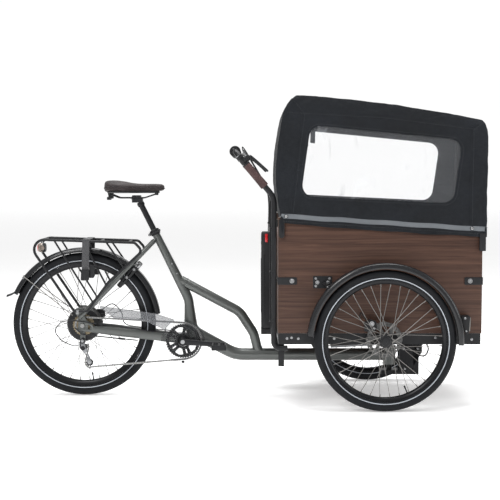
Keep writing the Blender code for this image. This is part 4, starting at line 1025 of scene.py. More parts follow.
def canopy_trim(shell):
    """Window bindings, welted seams, reflective tape, hem and snaps."""
    made = Piece("canopy_trim", "steered_box", "canopy", "tape", "chrome", "steel_black")
    for side in (-1, 1):
        edge = side_window()
        ribbon(made, shell, dense(edge + edge[:1], 0.010)[:-1], side, 0.013, 0, 0.0014, True)
        for seam in SEAMS:
            path = dense(seam, 0.010)
            made.tube(laid(shell, path, side, 0.0002), 0.0017, 8)
            shifted = [(x + 0.0065, z - 0.0035) for x, z in path]
            ribbon(made, shell, shifted, side, 0.0100, 0, 0.0009)
        tape = dense([TAPE[0], TAPE[1]], 0.010)
        wavy = [(x, z + 0.0012 * math.sin(x * 31)) for x, z in tape]
        ribbon(made, shell, wavy, side, 0.0215, 1, 0.0014)
        hem = [(x, z - 0.0180) for x, z in wavy]
        ribbon(made, shell, hem[1:-1], side, 0.0120, 0, 0.0012)
        for x in (0.207, 1.022):
            share = (x - TAPE[0][0]) / (TAPE[1][0] - TAPE[0][0])
            z = TAPE[0][1] + (TAPE[1][1] - TAPE[0][1]) * share
            at, normal = on_cover(shell, x, z, side, 0.0014)
            made.turn([(0, 0), (0.0090, 0), (0.0090, 0.0016), (0, 0.0018)], at, normal, 24, 3)
            made.turn([(0.0062, 0.0014), (0.0070, 0.0030), (0.0050, 0.0052), (0.0020, 0.0058), (0, 0.0058)],
                      at, normal, 24, 2)
        flap = [(0.181, 0.842), (0.192, 0.842), (0.196, 0.800), (0.1900, 0.7700), (0.183, 0.800)]
        rows = []
        for depth in (0.0, 0.0025):
            rows.append([Vector((x, side * (HALF + 0.0035 - depth), z)) for x, z in flap])
        made.rings(rows, 0)
        tab = rounded([(0.3120, 1.1680), (0.3330, 1.1650), (0.3350, 1.2450), (0.3140, 1.2480)], 0.003, 3)
        made.plate(tab, *sorted_pair(side * 0.3035, side * 0.3060), (), 0, 0.0005)
    return made.done()


def canopy_stitches(shell):
    """A row of stitches beside each seam and round each window, and three rows along the tape."""
    made = Piece("canopy_stitches", "steered_box", "thread")
    for side in (-1, 1):
        lines = [[(x + 0.0100, z - 0.0055) for x, z in dense(seam, 0.0050)] for seam in SEAMS]
        ring = side_window()
        lines += [dense(grown(ring, by) + grown(ring, by)[:1], 0.0050) for by in (0.0042,)]
        for lift in (0.0090, -0.0090, -0.0215):
            lines.append(dense([(x, z + lift) for x, z in TAPE], 0.0050)[2:-2])
        for line in lines:
            points = laid(shell, line, side, 0.0016)
            for first, second in list(zip(points, points[1:]))[::2]:
                made.tube([first, first.lerp(second, 0.85)], 0.00042, 4)
    return made.done()


def canopy_poles():
    """Two hoops and the ridge pole under the cover."""
    made = Piece("canopy_poles_v", "steered_box", "tube_black", "plastic")
    for foot, knee, peak in (
        ((0.200, 0.706), (0.205, 1.000), (0.262, 1.358)),
        ((1.045, 0.660), (1.050, 0.900), (1.058, 1.245)),
    ):
        y = 0.284
        route = [(foot[0], -y, foot[1]), (knee[0], -y, knee[1]), (peak[0], -y, peak[1]),
                 (peak[0], y, peak[1]), (knee[0], y, knee[1]), (foot[0], y, foot[1])]
        made.tube(bend(route, (0.2, 0.05, 0.05, 0.2), 6), 0.0060, 14)
        for side in (-1, 1):
            foot_at = Vector((foot[0], side * y, foot[1]))
            made.turn([(0, -0.004), (0.0090, -0.004), (0.0090, 0.050), (0.0070, 0.054), (0, 0.054)],
                      foot_at, UP, 16, 1)
    made.tube([(0.262, 0, 1.358), (1.058, 0, 1.245)], 0.0050, 12)
    for x, z in ((0.262, 1.358), (1.058, 1.245)):
        made.turn([(0, -0.018), (0.0085, -0.018), (0.0085, 0.018), (0, 0.018)], (x, 0, z), LEFT, 16, 1)
    made.done("canopy_poles")


# ---------------------------------------------------------------- rear frame

SEAT_TOP = Vector((-0.400, 0, 0.775))
LEAN = math.radians(26.5)
UP_POST = Vector((-math.sin(LEAN), 0, math.cos(LEAN)))
AHEAD_POST = Vector((math.cos(LEAN), 0, math.sin(LEAN)))
BRACKET = Vector((-0.262, 0, 0.259))


def spread(stops, count):
    """Evenly spaced values along a line of stops."""
    values = []
    for i in range(count):
        at = i / (count - 1) * (len(stops) - 1)
        low = min(int(at), len(stops) - 2)
        values.append(stops[low] + (stops[low + 1] - stops[low]) * (at - low))
    return values


def weld_bead(made, centre, axis, radius, paint=0):
    """A rippled weld round a tube's end."""
    first, second = across_of(Vector(axis).normalized())
    ring = []
    for i in range(48):
        t = math.tau * i / 48
        size = radius + 0.0004 * (i % 2)
        ring.append(Vector(centre) + (first * math.cos(t) + second * math.sin(t)) * size)
    made.tube(ring, 0.0022, 6, paint, closed=True)


def rear_frame():
    """Tubes, stays, dropouts and welds of the rear frame."""
    made = Piece("frame_v", "rear_frame", "frame", "steel_black", "chrome")
    corners = [SEAT_TOP, (-0.2375, 0, 0.4485), (-0.2265, 0, 0.3000), (-0.0200, 0, 0.1900),
               (0.6850, 0, 0.1900)]
    path = bend(corners, (0.12, 0.06, 0.15), 12)
    sizes = [0.0175]
    for size in (0.0225, 0.0310, 0.0285):
        sizes += [size] * 13
    sizes.append(0.028)
    lengths = [0.0]
    for first, second in zip(path, path[1:]):
        lengths.append(lengths[-1] + (second - first).length)
    smooth = []
    for at in lengths:
        near = [(math.exp(-((at - other) / 0.045) ** 2), size) for other, size in zip(lengths, sizes)]
        smooth.append(sum(w * s for w, s in near) / sum(w for w, _ in near))
    smooth[0] = 0.0178
    made.tube(path, smooth, 40)
    top = bend([(-0.275, 0, 0.538), (0.0, 0, 0.3900), (0.065, 0, 0.290), (0.088, 0, 0.200)],
               (0.10, 0.10), 12)
    made.tube(top, 0.0224, 32)
    made.tube([(BRACKET.x, -0.0365, BRACKET.z), (BRACKET.x, 0.0365, BRACKET.z)], 0.0230, 40)
    made.block((-0.300, -0.0330, 0.242), (-0.200, 0.0330, 0.290), 0.012, 0, None, 4)
    made.tube([(0.700, 0, 0.145), (0.700, 0, 0.232)], 0.030, 40)
    made.tube([(0.700, 0, 0.1455), (0.700, 0, 0.152)], 0.0318, 40)
    made.tube([(0.700, 0, 0.225), (0.700, 0, 0.2315)], 0.0318, 40)
    weld_bead(made, (-0.2520, 0, 0.5256), (0.88, 0, -0.47), 0.0236)
    weld_bead(made, (0.0835, 0, 0.2210), (0.15, 0, -1), 0.0232)
    for _, side in SIDES:
        rows = []
        stops = [(-0.262, 0.0300, 0.2640, 0.0200), (-0.330, 0.0345, 0.2720, 0.0205),
                 (-0.400, 0.0392, 0.2812, 0.0205), (-0.480, 0.0465, 0.2912, 0.0200),
                 (-0.600, 0.0575, 0.3058, 0.0195), (-0.690, 0.0655, 0.3168, 0.0150)]
        for x, y, z, tall in stops:
            rows.append([(x, side * y + 0.0060 * aside, z + tall * upright)
                         for aside, upright in squared(24, 0.7, 0.8)])
        made.rings(rows)
        stay = [(-0.3870, side * 0.0165, 0.7330), (-0.3985, side * 0.0205, 0.7212),
                *bend([(-0.4010, side * 0.0215, 0.7186), (-0.485, side * 0.047, 0.632),
                       (-0.740, side * 0.068, 0.368)], (0.08,), 10)]
        made.tube(stay, [0.0030, 0.0105] + [0.0115] * (len(stay) - 2), 24)
        ends = sorted_pair(side * 0.064, side * 0.072)
        outline = rounded([(-0.7480, 0.3120), (-0.7200, 0.3060), (-0.6760, 0.3010), (-0.6760, 0.3360),
                           (-0.7050, 0.3560), (-0.7180, 0.3820), (-0.7250, 0.4130), (-0.7580, 0.4130),
                           (-0.7580, 0.3900), (-0.7420, 0.3700)], 0.007, 4)
        window = rounded([(-0.7000, 0.3170), (-0.6850, 0.3150), (-0.6850, 0.3290), (-0.7000, 0.3380)],
                         0.002, 3)
        made.plate(outline, *ends, [window, circle(REAR_AXLE, 0.0068)], 0, 0.0010)
        made.bolt((-0.748, side * 0.072, 0.392), LEFT * side, 0.0045, 0.0030, 2)
    made.block((-0.736, -0.0720, 0.252), (-0.712, -0.0642, 0.310), 0.0022)
    for x, z in ((-0.315, 0.615), (-0.292, 0.570)):
        made.bolt((x, -0.0185, z), (0, -1, 0), 0.0035, 0.0025, 2)
    made.done("frame")

    collar = Piece("seat_collar_v", "rear_frame", "steel_black", "chrome")
    middle = SEAT_TOP - UP_POST * 0.0145
    collar.turn([(0.0192, -0.0122), (0.0226, -0.0122), (0.0230, -0.0110), (0.0230, 0.0080),
                 (0.0226, 0.0095), (0.0226, 0.0118), (0.0210, 0.0125), (0.0192, 0.0125)],
                middle, UP_POST, 40, 0, True)
    ear = middle - AHEAD_POST * 0.026
    across = Vector((0, 0.0245, 0))
    collar.tube([ear - across, ear + across], 0.0069, 20)
    collar.bolt(ear + across, LEFT, 0.0052, 0.0040, 1)
    collar.done("seat_collar")
    lever = Piece("seat_clamp_lever_v", "seat_clamp_lever", "steel_black", "chrome")
    pivot = ear + Vector((0, -0.0292, 0))
    blade = [(0.0000, 0.0042), (0.012, 0.0046), (0.026, 0.0034), (0.042, 0.0040), (0.0558, 0.0044)]
    rows = []
    for reach, wide in blade:
        centre = pivot + AHEAD_POST * reach - UP_POST * 0.0016 * math.sin(reach / 0.056 * math.pi)
        turns = [math.tau * i / 16 for i in range(16)]
        rows.append([centre + LEFT * 0.0033 * math.cos(t) + UP_POST * wide * math.sin(t) for t in turns])
    lever.rings(rows)
    lever.tube([pivot - UP_POST * 0.0058, pivot + UP_POST * 0.0058], 0.0041, 16, 1)
    lever.done("seat_clamp_lever")


def seat():
    """The seatpost, its clamp, the rails, and the saddle on them."""
    post = Piece("seatpost_v", "seatpost", "tube_black", "steel_black", "chrome")
    low, high = SEAT_TOP - UP_POST * 0.105, SEAT_TOP + UP_POST * 0.140
    post.tube([low, high], 0.0135, 32)
    post.done("seatpost")

    rails = Piece("saddle_rails_v", "seatpost", "steel_black", "tube_black", "chrome", "plastic")
    rails.block((-0.498, -0.0275, 0.9000), (-0.450, 0.0275, 0.9205), 0.003, 0, None, 3)
    rails.block((-0.498, -0.0275, 0.9215), (-0.458, 0.0275, 0.9335), 0.004, 0, None, 3)
    rails.turn([(0, -0.014), (0.0160, -0.014), (0.0175, -0.004), (0.0150, 0.006), (0, 0.006)],
               high - UP_POST * 0.004, UP_POST, 28)
    rails.bolt((-0.501, 0, 0.920), (-1, 0, 0), 0.0050, 0.006, 2)
    for _, side in SIDES:
        wire = [(-0.600, side * 0.034, 0.9405), (-0.555, side * 0.022, 0.9220),
                (-0.440, side * 0.022, 0.9220), (-0.385, side * 0.010, 0.9405)]
        rails.tube(bend(wire, (0.03, 0.03), 8), 0.0035, 14, 1)
        for at in (wire[0], wire[-1]):
            rails.turn([(0, -0.006), (0.0070, -0.006), (0.0085, 0.009), (0, 0.009)], at, UP, 16, 3)
    rows = []
    for x, half in ((-0.6080, 0.060), (-0.590, 0.080), (-0.555, 0.086), (-0.510, 0.064), (-0.450, 0.028),
                    (-0.372, 0.014)):
        rows.append([(x, y, z) for y, z in ((half, 0.9530), (half, 0.9485), (half * 0.8, 0.9440),
                                            (-half * 0.8, 0.9440), (-half, 0.9485), (-half, 0.9530))])
    rails.rings(rows, 3)
    rails.block((-0.6080, -0.0200, 0.9180), (-0.5860, 0.0200, 0.9440), 0.004, 3, None, 3)
    rails.block((-0.6150, -0.0150, 0.9120), (-0.5960, 0.0150, 0.9260), 0.004, 3, None, 3)
    rails.bolt((-0.5970, -0.0152, 0.9200), (0, -1, 0), 0.0038, 0.003, 2)
    rails.done("saddle_rails")
    saddle()


def saddle():
    """A padded saddle: crowned top, pressed channel, and a welted skirt."""
    stops = [(-0.6225, 0.052, 0.955, 0.9840), (-0.6165, 0.074, 0.949, 0.9930),
             (-0.6000, 0.090, 0.947, 0.9985), (-0.5700, 0.0965, 0.947, 1.0010),
             (-0.5400, 0.0900, 0.947, 0.9980),
             (-0.5100, 0.0720, 0.948, 0.9930), (-0.4800, 0.0510, 0.949, 0.9895),
             (-0.4500, 0.0360, 0.950, 0.9880), (-0.4150, 0.0275, 0.951, 0.9875),
             (-0.3800, 0.0235, 0.952, 0.9865), (-0.3580, 0.0195, 0.955, 0.9840),
             (-0.3480, 0.0125, 0.960, 0.9780)]
    path = smooth_path([(x, half, low) for x, half, low, _ in stops], 0.009)
    tops = smooth_path([(x, 0, high) for x, _, _, high in stops], 0.009)
    rows = []
    count = min(len(path), len(tops))
    for i in range(count):
        x, half, low = path[round(i * (len(path) - 1) / (count - 1))]
        high = tops[round(i * (len(tops) - 1) / (count - 1))].z
        ring = []
        for k in range(40):
            t = math.tau * k / 40
            wide = math.copysign(abs(math.cos(t)) ** 0.62, math.cos(t)) * half
            rise = math.sin(t)
            middle = (low + high) / 2
            tall = (high - low) / 2
            z = middle + tall * math.copysign(abs(rise) ** 0.72, rise)
            if rise > 0:
                share = min(1, abs(wide) / half)
                z -= 0.0040 * share ** 3
                cushion = math.exp(-((abs(wide) - 0.045) / 0.030) ** 2) * min(1, half / 0.08) ** 2
                z += 0.0030 * cushion
                z -= 0.0045 * math.exp(-(wide / 0.010) ** 2) * math.exp(-((x + 0.500) / 0.075) ** 2)
            if abs(rise) < 0.25:
                wide *= 0.988
            ring.append((x, wide, z))
        rows.append(ring)
    made = Piece("saddle_v", "seatpost", "saddle")
    made.rings(rows)
    pad = made.done("saddle", 75)
    pad.modifiers.new("round", "SUBSURF").levels = 1
    pad.modifiers["round"].render_levels = 1
    slope = Piece("saddle_welt", "seatpost", "saddle", "thread", "plastic")
    rim = []
    for row in rows:
        rim.append(Vector(row[0]) + Vector((0, 0.0008, -0.0035)))
    other = [Vector((p.x, -p.y, p.z)) for p in reversed(rim)]
    slope.tube(rim + other, 0.0015, 8, 0, closed=True)
    thread = [p + Vector((0, 0.0004 * (1 if p.y > 0 else -1), 0.0050)) for p in rim + other]
    for first, second in zip(thread, thread[1:]):
        slope.tube([first.lerp(second, 0.1), first.lerp(second, 0.6)], 0.00045, 4, 1)
    slope.done()


# ---------------------------------------------------------------- rear fittings


def guard_shell(made, centre, radius, first, last, half, steps, lip, paint=0):
    """A rolled mudguard with turned-in lips."""
    rows = []
    for i in range(steps + 1):
        degrees = first + (last - first) * i / steps
        outer = [(radius - lip, half), (radius - 0.0060, half - 0.0030), (radius - 0.0012, half - 0.0085),
                 (radius, half - 0.0150), (radius, 0), (radius, -half + 0.0150),
                 (radius - 0.0012, -half + 0.0085), (radius - 0.0060, -half + 0.0030),
                 (radius - lip, -half)]
        inner = [(r - 0.0018, y * 0.965) for r, y in reversed(outer)]
        rows.append([polar(centre, r, degrees, centre.y + y) for r, y in outer + inner])
    made.rings(rows, paint)


def rear_mudguard():
    """The rolled guard over the rear wheel, its flap, and a wire stay."""
    guard = Piece("rear_mudguard_v", "rear_frame", "gloss", "spoke", "plastic", "chrome")
    guard_shell(guard, REAR_AXLE, 0.3580, 8, 156, 0.0300, 96, 0.0200)
    start = polar(REAR_AXLE, 0.3550, 152)
    rows = []
    flap = [(start.x, start.z, 0.0285), (-1.0470, 0.4830, 0.0285), (-1.0580, 0.4745, 0.0275),
            (-1.0720, 0.4685, 0.0250), (-1.0860, 0.4640, 0.0190)]
    for x, z, half in flap:
        rows.append([(x, y, z + rise - 0.0040 * (abs(y) / half) ** 3) for y, rise in
                     [(half, 0), (half * 0.6, 0.0050), (0, 0.0060), (-half * 0.6, 0.0050), (-half, 0),
                      (-half * 0.6, -0.0030), (0, -0.0026), (half * 0.6, -0.0030)]])
    guard.rings(rows, 2)
    crest = polar(REAR_AXLE, 0.3590, 141)
    route = []
    for side in (-1, 1):
        foot = (-0.7712, side * 0.0660, 0.3800)
        knee = (crest.x, side * 0.0345, crest.z)
        route += [foot, knee] if side < 0 else [knee, foot]
    guard.tube(bend(route, (0.008, 0.008), 6), 0.0021, 12, 1)
    for side in (-1, 1):
        guard.bolt((crest.x, side * 0.0335, crest.z - 0.008), LEFT * side, 0.0040, 0.003, 3)
    guard.done("rear_mudguard")


def rear_rack():
    """Two tube loops with struts down to the stays, and cross bars."""
    rack = Piece("rear_rack_v", "rear_frame", "tube_black", "chrome", "steel_black")
    corners = [(-0.700, 0.4020), (-0.760, 0.4020), (-0.982, 0.7340), (-0.480, 0.7180), (-0.445, 0.6800),
               (-0.6000, 0.5375), (-0.700, 0.4020)]
    slope = (0.7180 - 0.7340) / (-0.480 + 0.982)
    for _, side in SIDES:
        y = side * 0.090
        route = bend([(x, y, z) for x, z in corners], (0.008, 0.045, 0.022, 0.022, 0.02), 8)[:-1]
        rack.tube(route, 0.0062, 16, 0, closed=True)
        for top_x, low in ((-0.850, (-0.672, 0.440)), (-0.716, (-0.612, 0.5215)), (-0.612, (-0.530, 0.6020))):
            top = (top_x, y, 0.7340 + slope * (top_x + 0.982))
            rack.tube([top, (low[0], y, low[1])], 0.0043, 14)
        bosses = sorted_pair(side * 0.0724, side * 0.0900)
        rack.tube([(-0.744, bosses[0], 0.4025), (-0.744, bosses[1], 0.4025)], 0.0047, 14)
        rack.bolt((-0.744, side * 0.0950, 0.4025), LEFT * side, 0.0050, 0.0040, 1)
    for x in (-0.905, -0.640, -0.510):
        z = 0.7340 + slope * (x + 0.982)
        rack.tube([(x, -0.090, z), (x, 0.090, z)], 0.0048, 14)
    rack.done("rear_rack")


def rack_strap():
    """A woven strap over the rack, with a buckle and a loose end on each side."""
    strap = Piece("rack_strap", "rear_frame", "webbing", "plastic")
    for _, side in SIDES:
        out = side * 0.0978
        strap.plate(rounded([(-0.7230, 0.5800), (-0.7190, 0.7320), (-0.6860, 0.7310), (-0.6900, 0.5800)],
                            0.003, 3), *sorted_pair(out, out + side * 0.0018), (), 0, 0.0004)
        buckle = rounded([(-0.7270, 0.5450), (-0.7250, 0.5960), (-0.6870, 0.5960), (-0.6890, 0.5450)], 0.006)
        strap.plate(buckle, *sorted_pair(out + side * 0.0010, out + side * 0.0080), (), 1, 0.0015)
        tail = rounded([(-0.6910, 0.5560), (-0.6880, 0.6150), (-0.6650, 0.6120), (-0.6670, 0.5560)], 0.005)
        strap.plate(tail, *sorted_pair(side * 0.0880, side * 0.0960), (), 1, 0.0010)
    strap.block((-0.7190, -0.0985, 0.7318), (-0.6865, 0.0985, 0.7340), 0.0008)
    strap.done()


def tail_lamp():
    """A round lamp on the end of the rack."""
    lamp = Piece("tail_lamp_v", "rear_frame", "smoke", "chrome", "plastic", "red")
    lamp.turn([(0, -0.038), (0.0150, -0.038), (0.0200, -0.034), (0.0218, -0.026), (0.0220, -0.014),
               (0.0205, -0.012)], (-0.902, 0, 0.690), (1, 0, 0), 40, [3, 3, 0, 0, 1])
    lamp.turn([(0.0216, -0.014), (0.0216, -0.004), (0.0180, 0), (0, 0)], (-0.902, 0, 0.690), (1, 0, 0), 40, 2)
    lamp.block((-0.9210, -0.0065, 0.7080), (-0.9170, 0.0065, 0.7320), 0.0010, 1)
    for side in (-1, 1):
        lamp.turn([(0, 0), (0.0130, 0), (0.0120, 0.0030), (0, 0.0045)], (-0.918, side * 0.0190, 0.690),
                  LEFT * side, 24, [1, 1, 0])
    lamp.done("tail_lamp")


def ring_lock():
    """A horseshoe lock on the seat stays, with its keyhole and key."""
    lock = Piece("ring_lock_v", "rear_frame", "plastic", "chrome", "steel")
    radial = polar(Vector((0, 0, 0)), 1, 47.4)
    side_way = Vector((radial.z, 0, -radial.x))
    arm_aside, arm_low, arm_thick = 0.0435, 0.2420, 0.0075
    for _, side in SIDES:
        rows = []
        for r, wide in ((arm_low, 0.0085), (arm_low + 0.004, 0.0120), (0.300, 0.0128), (0.3780, 0.0128)):
            centre = REAR_AXLE + radial * r + LEFT * side * arm_aside
            rows.append([centre + LEFT * arm_thick * aside + side_way * wide * upright
                         for aside, upright in squared(20, 0.6, 0.6)])
        lock.rings(rows)
    arch = []
    for i in range(17):
        t = math.pi * i / 16
        arch.append(REAR_AXLE + radial * (0.3740 + 0.0060 * math.sin(t)) + LEFT * arm_aside * math.cos(t))
    rows = []
    for centre in arch:
        rows.append([centre + radial * 0.0105 * outward + side_way * 0.0128 * upright
                     for outward, upright in squared(16, 0.6, 0.6)])
    lock.rings(rows)
    keyhole = REAR_AXLE + radial * 0.3780 + LEFT * -0.0490
    lock.turn([(0, 0), (0.0125, 0), (0.0125, 0.006), (0.0100, 0.008), (0, 0.008)], keyhole, -LEFT, 24, 1)
    lock.bar(keyhole + LEFT * -0.008, keyhole + LEFT * -0.030, 0.0120, 0.0028, 0.0008, 2)
    lock.turn([(0, 0), (0.0120, 0), (0.0120, 0.0050), (0, 0.0050)],
              keyhole + LEFT * -0.030 - side_way * 0.001, side_way, 20, 0)
    lock.tube([REAR_AXLE + radial * 0.2560 + LEFT * -0.0400, REAR_AXLE + radial * 0.2560 + LEFT * -0.0320],
              0.0042, 16, 1)
    for r in (0.300, 0.350):
        lock.bolt(REAR_AXLE + radial * r + LEFT * -0.0510, -LEFT, 0.0045, 0.003, 1)
    lock.done("ring_lock")


def rear_caliper():
    """The rear disc caliper, its halves on each side of the disc."""
    caliper = Piece("rear_brake_caliper_v", "rear_frame", "steel_black", "chrome", "plastic")
    half = rounded([(-0.688, 0.3550), (-0.636, 0.3550), (-0.640, 0.3960), (-0.676, 0.3970)], 0.008)
    for low, high in ((0.0430, 0.0488), (0.0532, 0.0602)):
        caliper.plate(half, low, high, (), 0, 0.0012)
    caliper.block((-0.6410, 0.0432, 0.3600), (-0.6350, 0.0600, 0.3900), 0.0015)
    caliper.bolt((-0.6640, 0.0602, 0.3820), LEFT, 0.0070, 0.004, 1)
    caliper.bolt((-0.6640, 0.0602, 0.3640), LEFT, 0.0040, 0.003, 1)
    caliper.done("rear_brake_caliper")


def cables():
    """Outer cables fixed along the frame."""
    motor = Piece("motor_cable_v", "rear_frame", "plastic")
    route = [(-0.7600, -0.0780, 0.3250), (-0.7250, -0.0900, 0.2950), (-0.650, -0.0820, 0.2850),
             (-0.560, -0.0720, 0.2740), (-0.470, -0.0660, 0.2640)]
    motor.tube(bend(route, (0.02, 0.04, 0.1), 8), 0.0030, 12)
    motor.tube([(-0.560, -0.0720, 0.2740), (-0.530, -0.0697, 0.2707)], 0.0052, 16)
    motor.done("motor_cable")
    gear = Piece("gear_cable_v", "rear_frame", "plastic", "chrome")
    route = [(-0.7446, -0.0840, 0.2440), (-0.7760, -0.0840, 0.2440), (-0.8200, -0.0860, 0.2650),
             (-0.8560, -0.0900, 0.3120), (-0.8200, -0.0880, 0.3540), (-0.7700, -0.0840, 0.3600),
             (-0.6600, -0.0820, 0.3430)]
    gear.tube(bend(route, (0.03, 0.03, 0.03, 0.03, 0.03), 10), 0.0025, 12)
    gear.tube([(-0.7500, -0.0840, 0.2440), (-0.7600, -0.0840, 0.2440)], 0.0036, 16, 1)
    gear.done("gear_cable")
    hoses = Piece("frame_hoses", "rear_frame", "plastic")
    hoses.tube(smooth_path([(-0.648, 0.0560, 0.3960), (-0.600, 0.0620, 0.4200), (-0.560, 0.0640, 0.3800),
                            (-0.540, 0.0600, 0.3250), (-0.440, 0.0480, 0.3080), (-0.330, 0.0440, 0.2960)],
                           0.012), 0.0024, 10)
    hoses.tube(smooth_path([(-0.650, -0.0790, 0.3420), (-0.560, -0.0660, 0.3320), (-0.440, -0.0530, 0.3080),
                            (-0.330, -0.0440, 0.2960)], 0.012), 0.0024, 10)
    hoses.done()


# ---------------------------------------------------------------- drive

CHAIN_Y = -0.048
GUIDE = Vector((-0.722, CHAIN_Y, 0.231))
TENSION = Vector((-0.696, CHAIN_Y, 0.159))


def wrap(centre, radius, first, last, clockwise):
    """Points of the chain's arc round a wheel, between two headings."""
    sweep = (first - last) % 360 if clockwise else (last - first) % 360
    steps = max(4, round(math.radians(sweep) * radius / 0.004))
    sign = -1 if clockwise else 1
    return [polar(centre, radius, first + sign * sweep * i / steps, CHAIN_Y) for i in range(steps + 1)]


def tangent(first, first_radius, second, second_radius, side, crossed=False):
    """The heading at which a straight run leaves two round wheels."""
    between = second - first
    heading = math.degrees(math.atan2(between.z, between.x))
    reach = first_radius + second_radius if crossed else first_radius - second_radius
    return heading - side * math.degrees(math.acos(reach / between.length))


def chain_routes():
    """The chain's route in three runs: top and cassette, cage, and lower run."""
    ring = Vector((BRACKET.x, CHAIN_Y, BRACKET.z))
    cog = Vector((REAR_AXLE.x, CHAIN_Y, REAR_AXLE.z))
    top = tangent(ring, 0.0850, cog, 0.0366, 1)
    guide = tangent(cog, 0.0366, GUIDE, 0.0222, 1, True)
    tension = tangent(GUIDE, 0.0222, TENSION, 0.0222, -1, True)
    lower = tangent(ring, 0.0850, TENSION, 0.0222, -1)
    above = wrap(ring, 0.0850, lower, top, False) + wrap(cog, 0.0366, top, guide, False)
    cage = wrap(GUIDE, 0.0222, guide + 180, tension, True)
    cage += wrap(TENSION, 0.0222, tension + 180, lower, False)
    return above, cage, [cage[-1], above[0]]


def even(path, pitch):
    """Points along a path at an even pitch."""
    points, left = [Vector(path[0])], pitch
    for a, b in zip(path, path[1:]):
        a, b = Vector(a), Vector(b)
        while (b - a).length >= left:
            a = a + (b - a).normalized() * left
            points.append(a.copy())
            left = pitch
        left -= (b - a).length
    return points


def chain_piece(name, carrier, path, odd, ride=True):
    """Links with two side plates each and a roller at each pin."""
    made = Piece(name, carrier, "steel", "tube_black")
    points = even(path, 0.0127)
    points.append(points[-1] + (points[-1] - points[-2]))
    for i, (first, second) in enumerate(zip(points, points[1:])):
        ahead = (second - first).normalized()
        up = Vector((-ahead.z, 0, ahead.x))
        outer = (i + odd) % 2
        for side in (-1, 1):
            y = side * (0.0030 if outer else 0.0021)
            ring = []
            for centre, turn in ((first, 180), (second, 0)):
                for k in range(5):
                    t = math.radians(turn - 78 + 39 * k)
                    ring.append(centre + (ahead * math.cos(t) + up * math.sin(t)) * 0.0039)
            rows = [[p + LEFT * (y + thick) for p in ring] for thick in (-0.00045, 0.00045)]
            made.rings(rows)
        made.turn([(0, -0.0036), (0.0017, -0.0036), (0.0017, -0.0018), (0.0036, -0.0017),
                   (0.0036, 0.0017), (0.0017, 0.0018), (0.0017, 0.0036), (0, 0.0036)], first, LEFT, 8, 1)
    return made.done(ride=ride)


def toothed(centre, pitch_radius, teeth, tip=0.0030, root=0.0038):
    """A sprocket's outline, with one rounded gap between teeth at each roller."""
    outline = []
    for i in range(teeth):
        for share, reach in ((-0.10, -root), (0.10, -root), (0.27, -root * 0.2), (0.42, tip),
                             (0.58, tip), (0.73, -root * 0.2)):
            point = polar(centre, pitch_radius + reach, 360 * (i + share) / teeth)
            outline.append((point.x, point.z))
    return outline


def chain():
    """Three runs of links: over the top, round the pulleys, and back below."""
    above, cage, lower = chain_routes()
    top = chain_piece("chain_top", "rear_frame", above, 0)
    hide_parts("chain")
    chain_piece("chain_cage", "derailleur_cage", cage, 1)
    run = chain_piece("chain_lower", "rear_frame", lower, 0, False)
    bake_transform(run)


def chainring():
    """A ring with five arms, its windows, and a bolt at each arm."""
    ring = Piece("chainring_v", "crankset", "plastic", "steel", "steel_black")
    holes = []
    for i in range(5):
        spots = [(0.0640, 72 * i + 17), (0.0665, 72 * i + 36), (0.0640, 72 * i + 55), (0.0370, 72 * i + 47),
                 (0.0370, 72 * i + 25)]
        corners = [polar(BRACKET, r, d) for r, d in spots]
        holes.append(rounded([(p.x, p.z) for p in corners], 0.0040, 4))
    for i in range(5):
        spots = [(0.0600, 72 * i - 3), (0.0600, 72 * i + 3), (0.0400, 72 * i + 4), (0.0400, 72 * i - 4)]
        corners = [polar(BRACKET, r, d) for r, d in spots]
        holes.append(rounded([(p.x, p.z) for p in corners], 0.0020, 3))
    ring.plate(toothed(BRACKET, 0.0800, 42, 0.0004, 0.0030), CHAIN_Y - 0.0017, CHAIN_Y + 0.0017,
               [*holes, circle(BRACKET, 0.0255, 32)], 0, 0.0004)
    for i in range(5):
        ring.bolt(polar(BRACKET, 0.0730, 72 * i, CHAIN_Y - 0.0017), -LEFT, 0.0036, 0.0020, 2)
    ring.done("chainring")


CRANK_LENGTH = 0.1695
CRANK_DROP = math.radians(4.4)
CRANK_AIM = Vector((math.cos(CRANK_DROP), 0, -math.sin(CRANK_DROP)))
# Along a crank arm from the bracket's axis: how far, half its height, half its thickness.
CRANK_SECTIONS = ((-0.014, 0.006, 0.005), (-0.010, 0.013, 0.0065), (0.0, 0.0150, 0.0070),
                  (0.030, 0.0135, 0.0070), (0.090, 0.0115, 0.0068), (0.150, 0.0118, 0.0068),
                  (CRANK_LENGTH, 0.0138, 0.0070), (0.1790, 0.0110, 0.0065), (0.1835, 0.0040, 0.005))


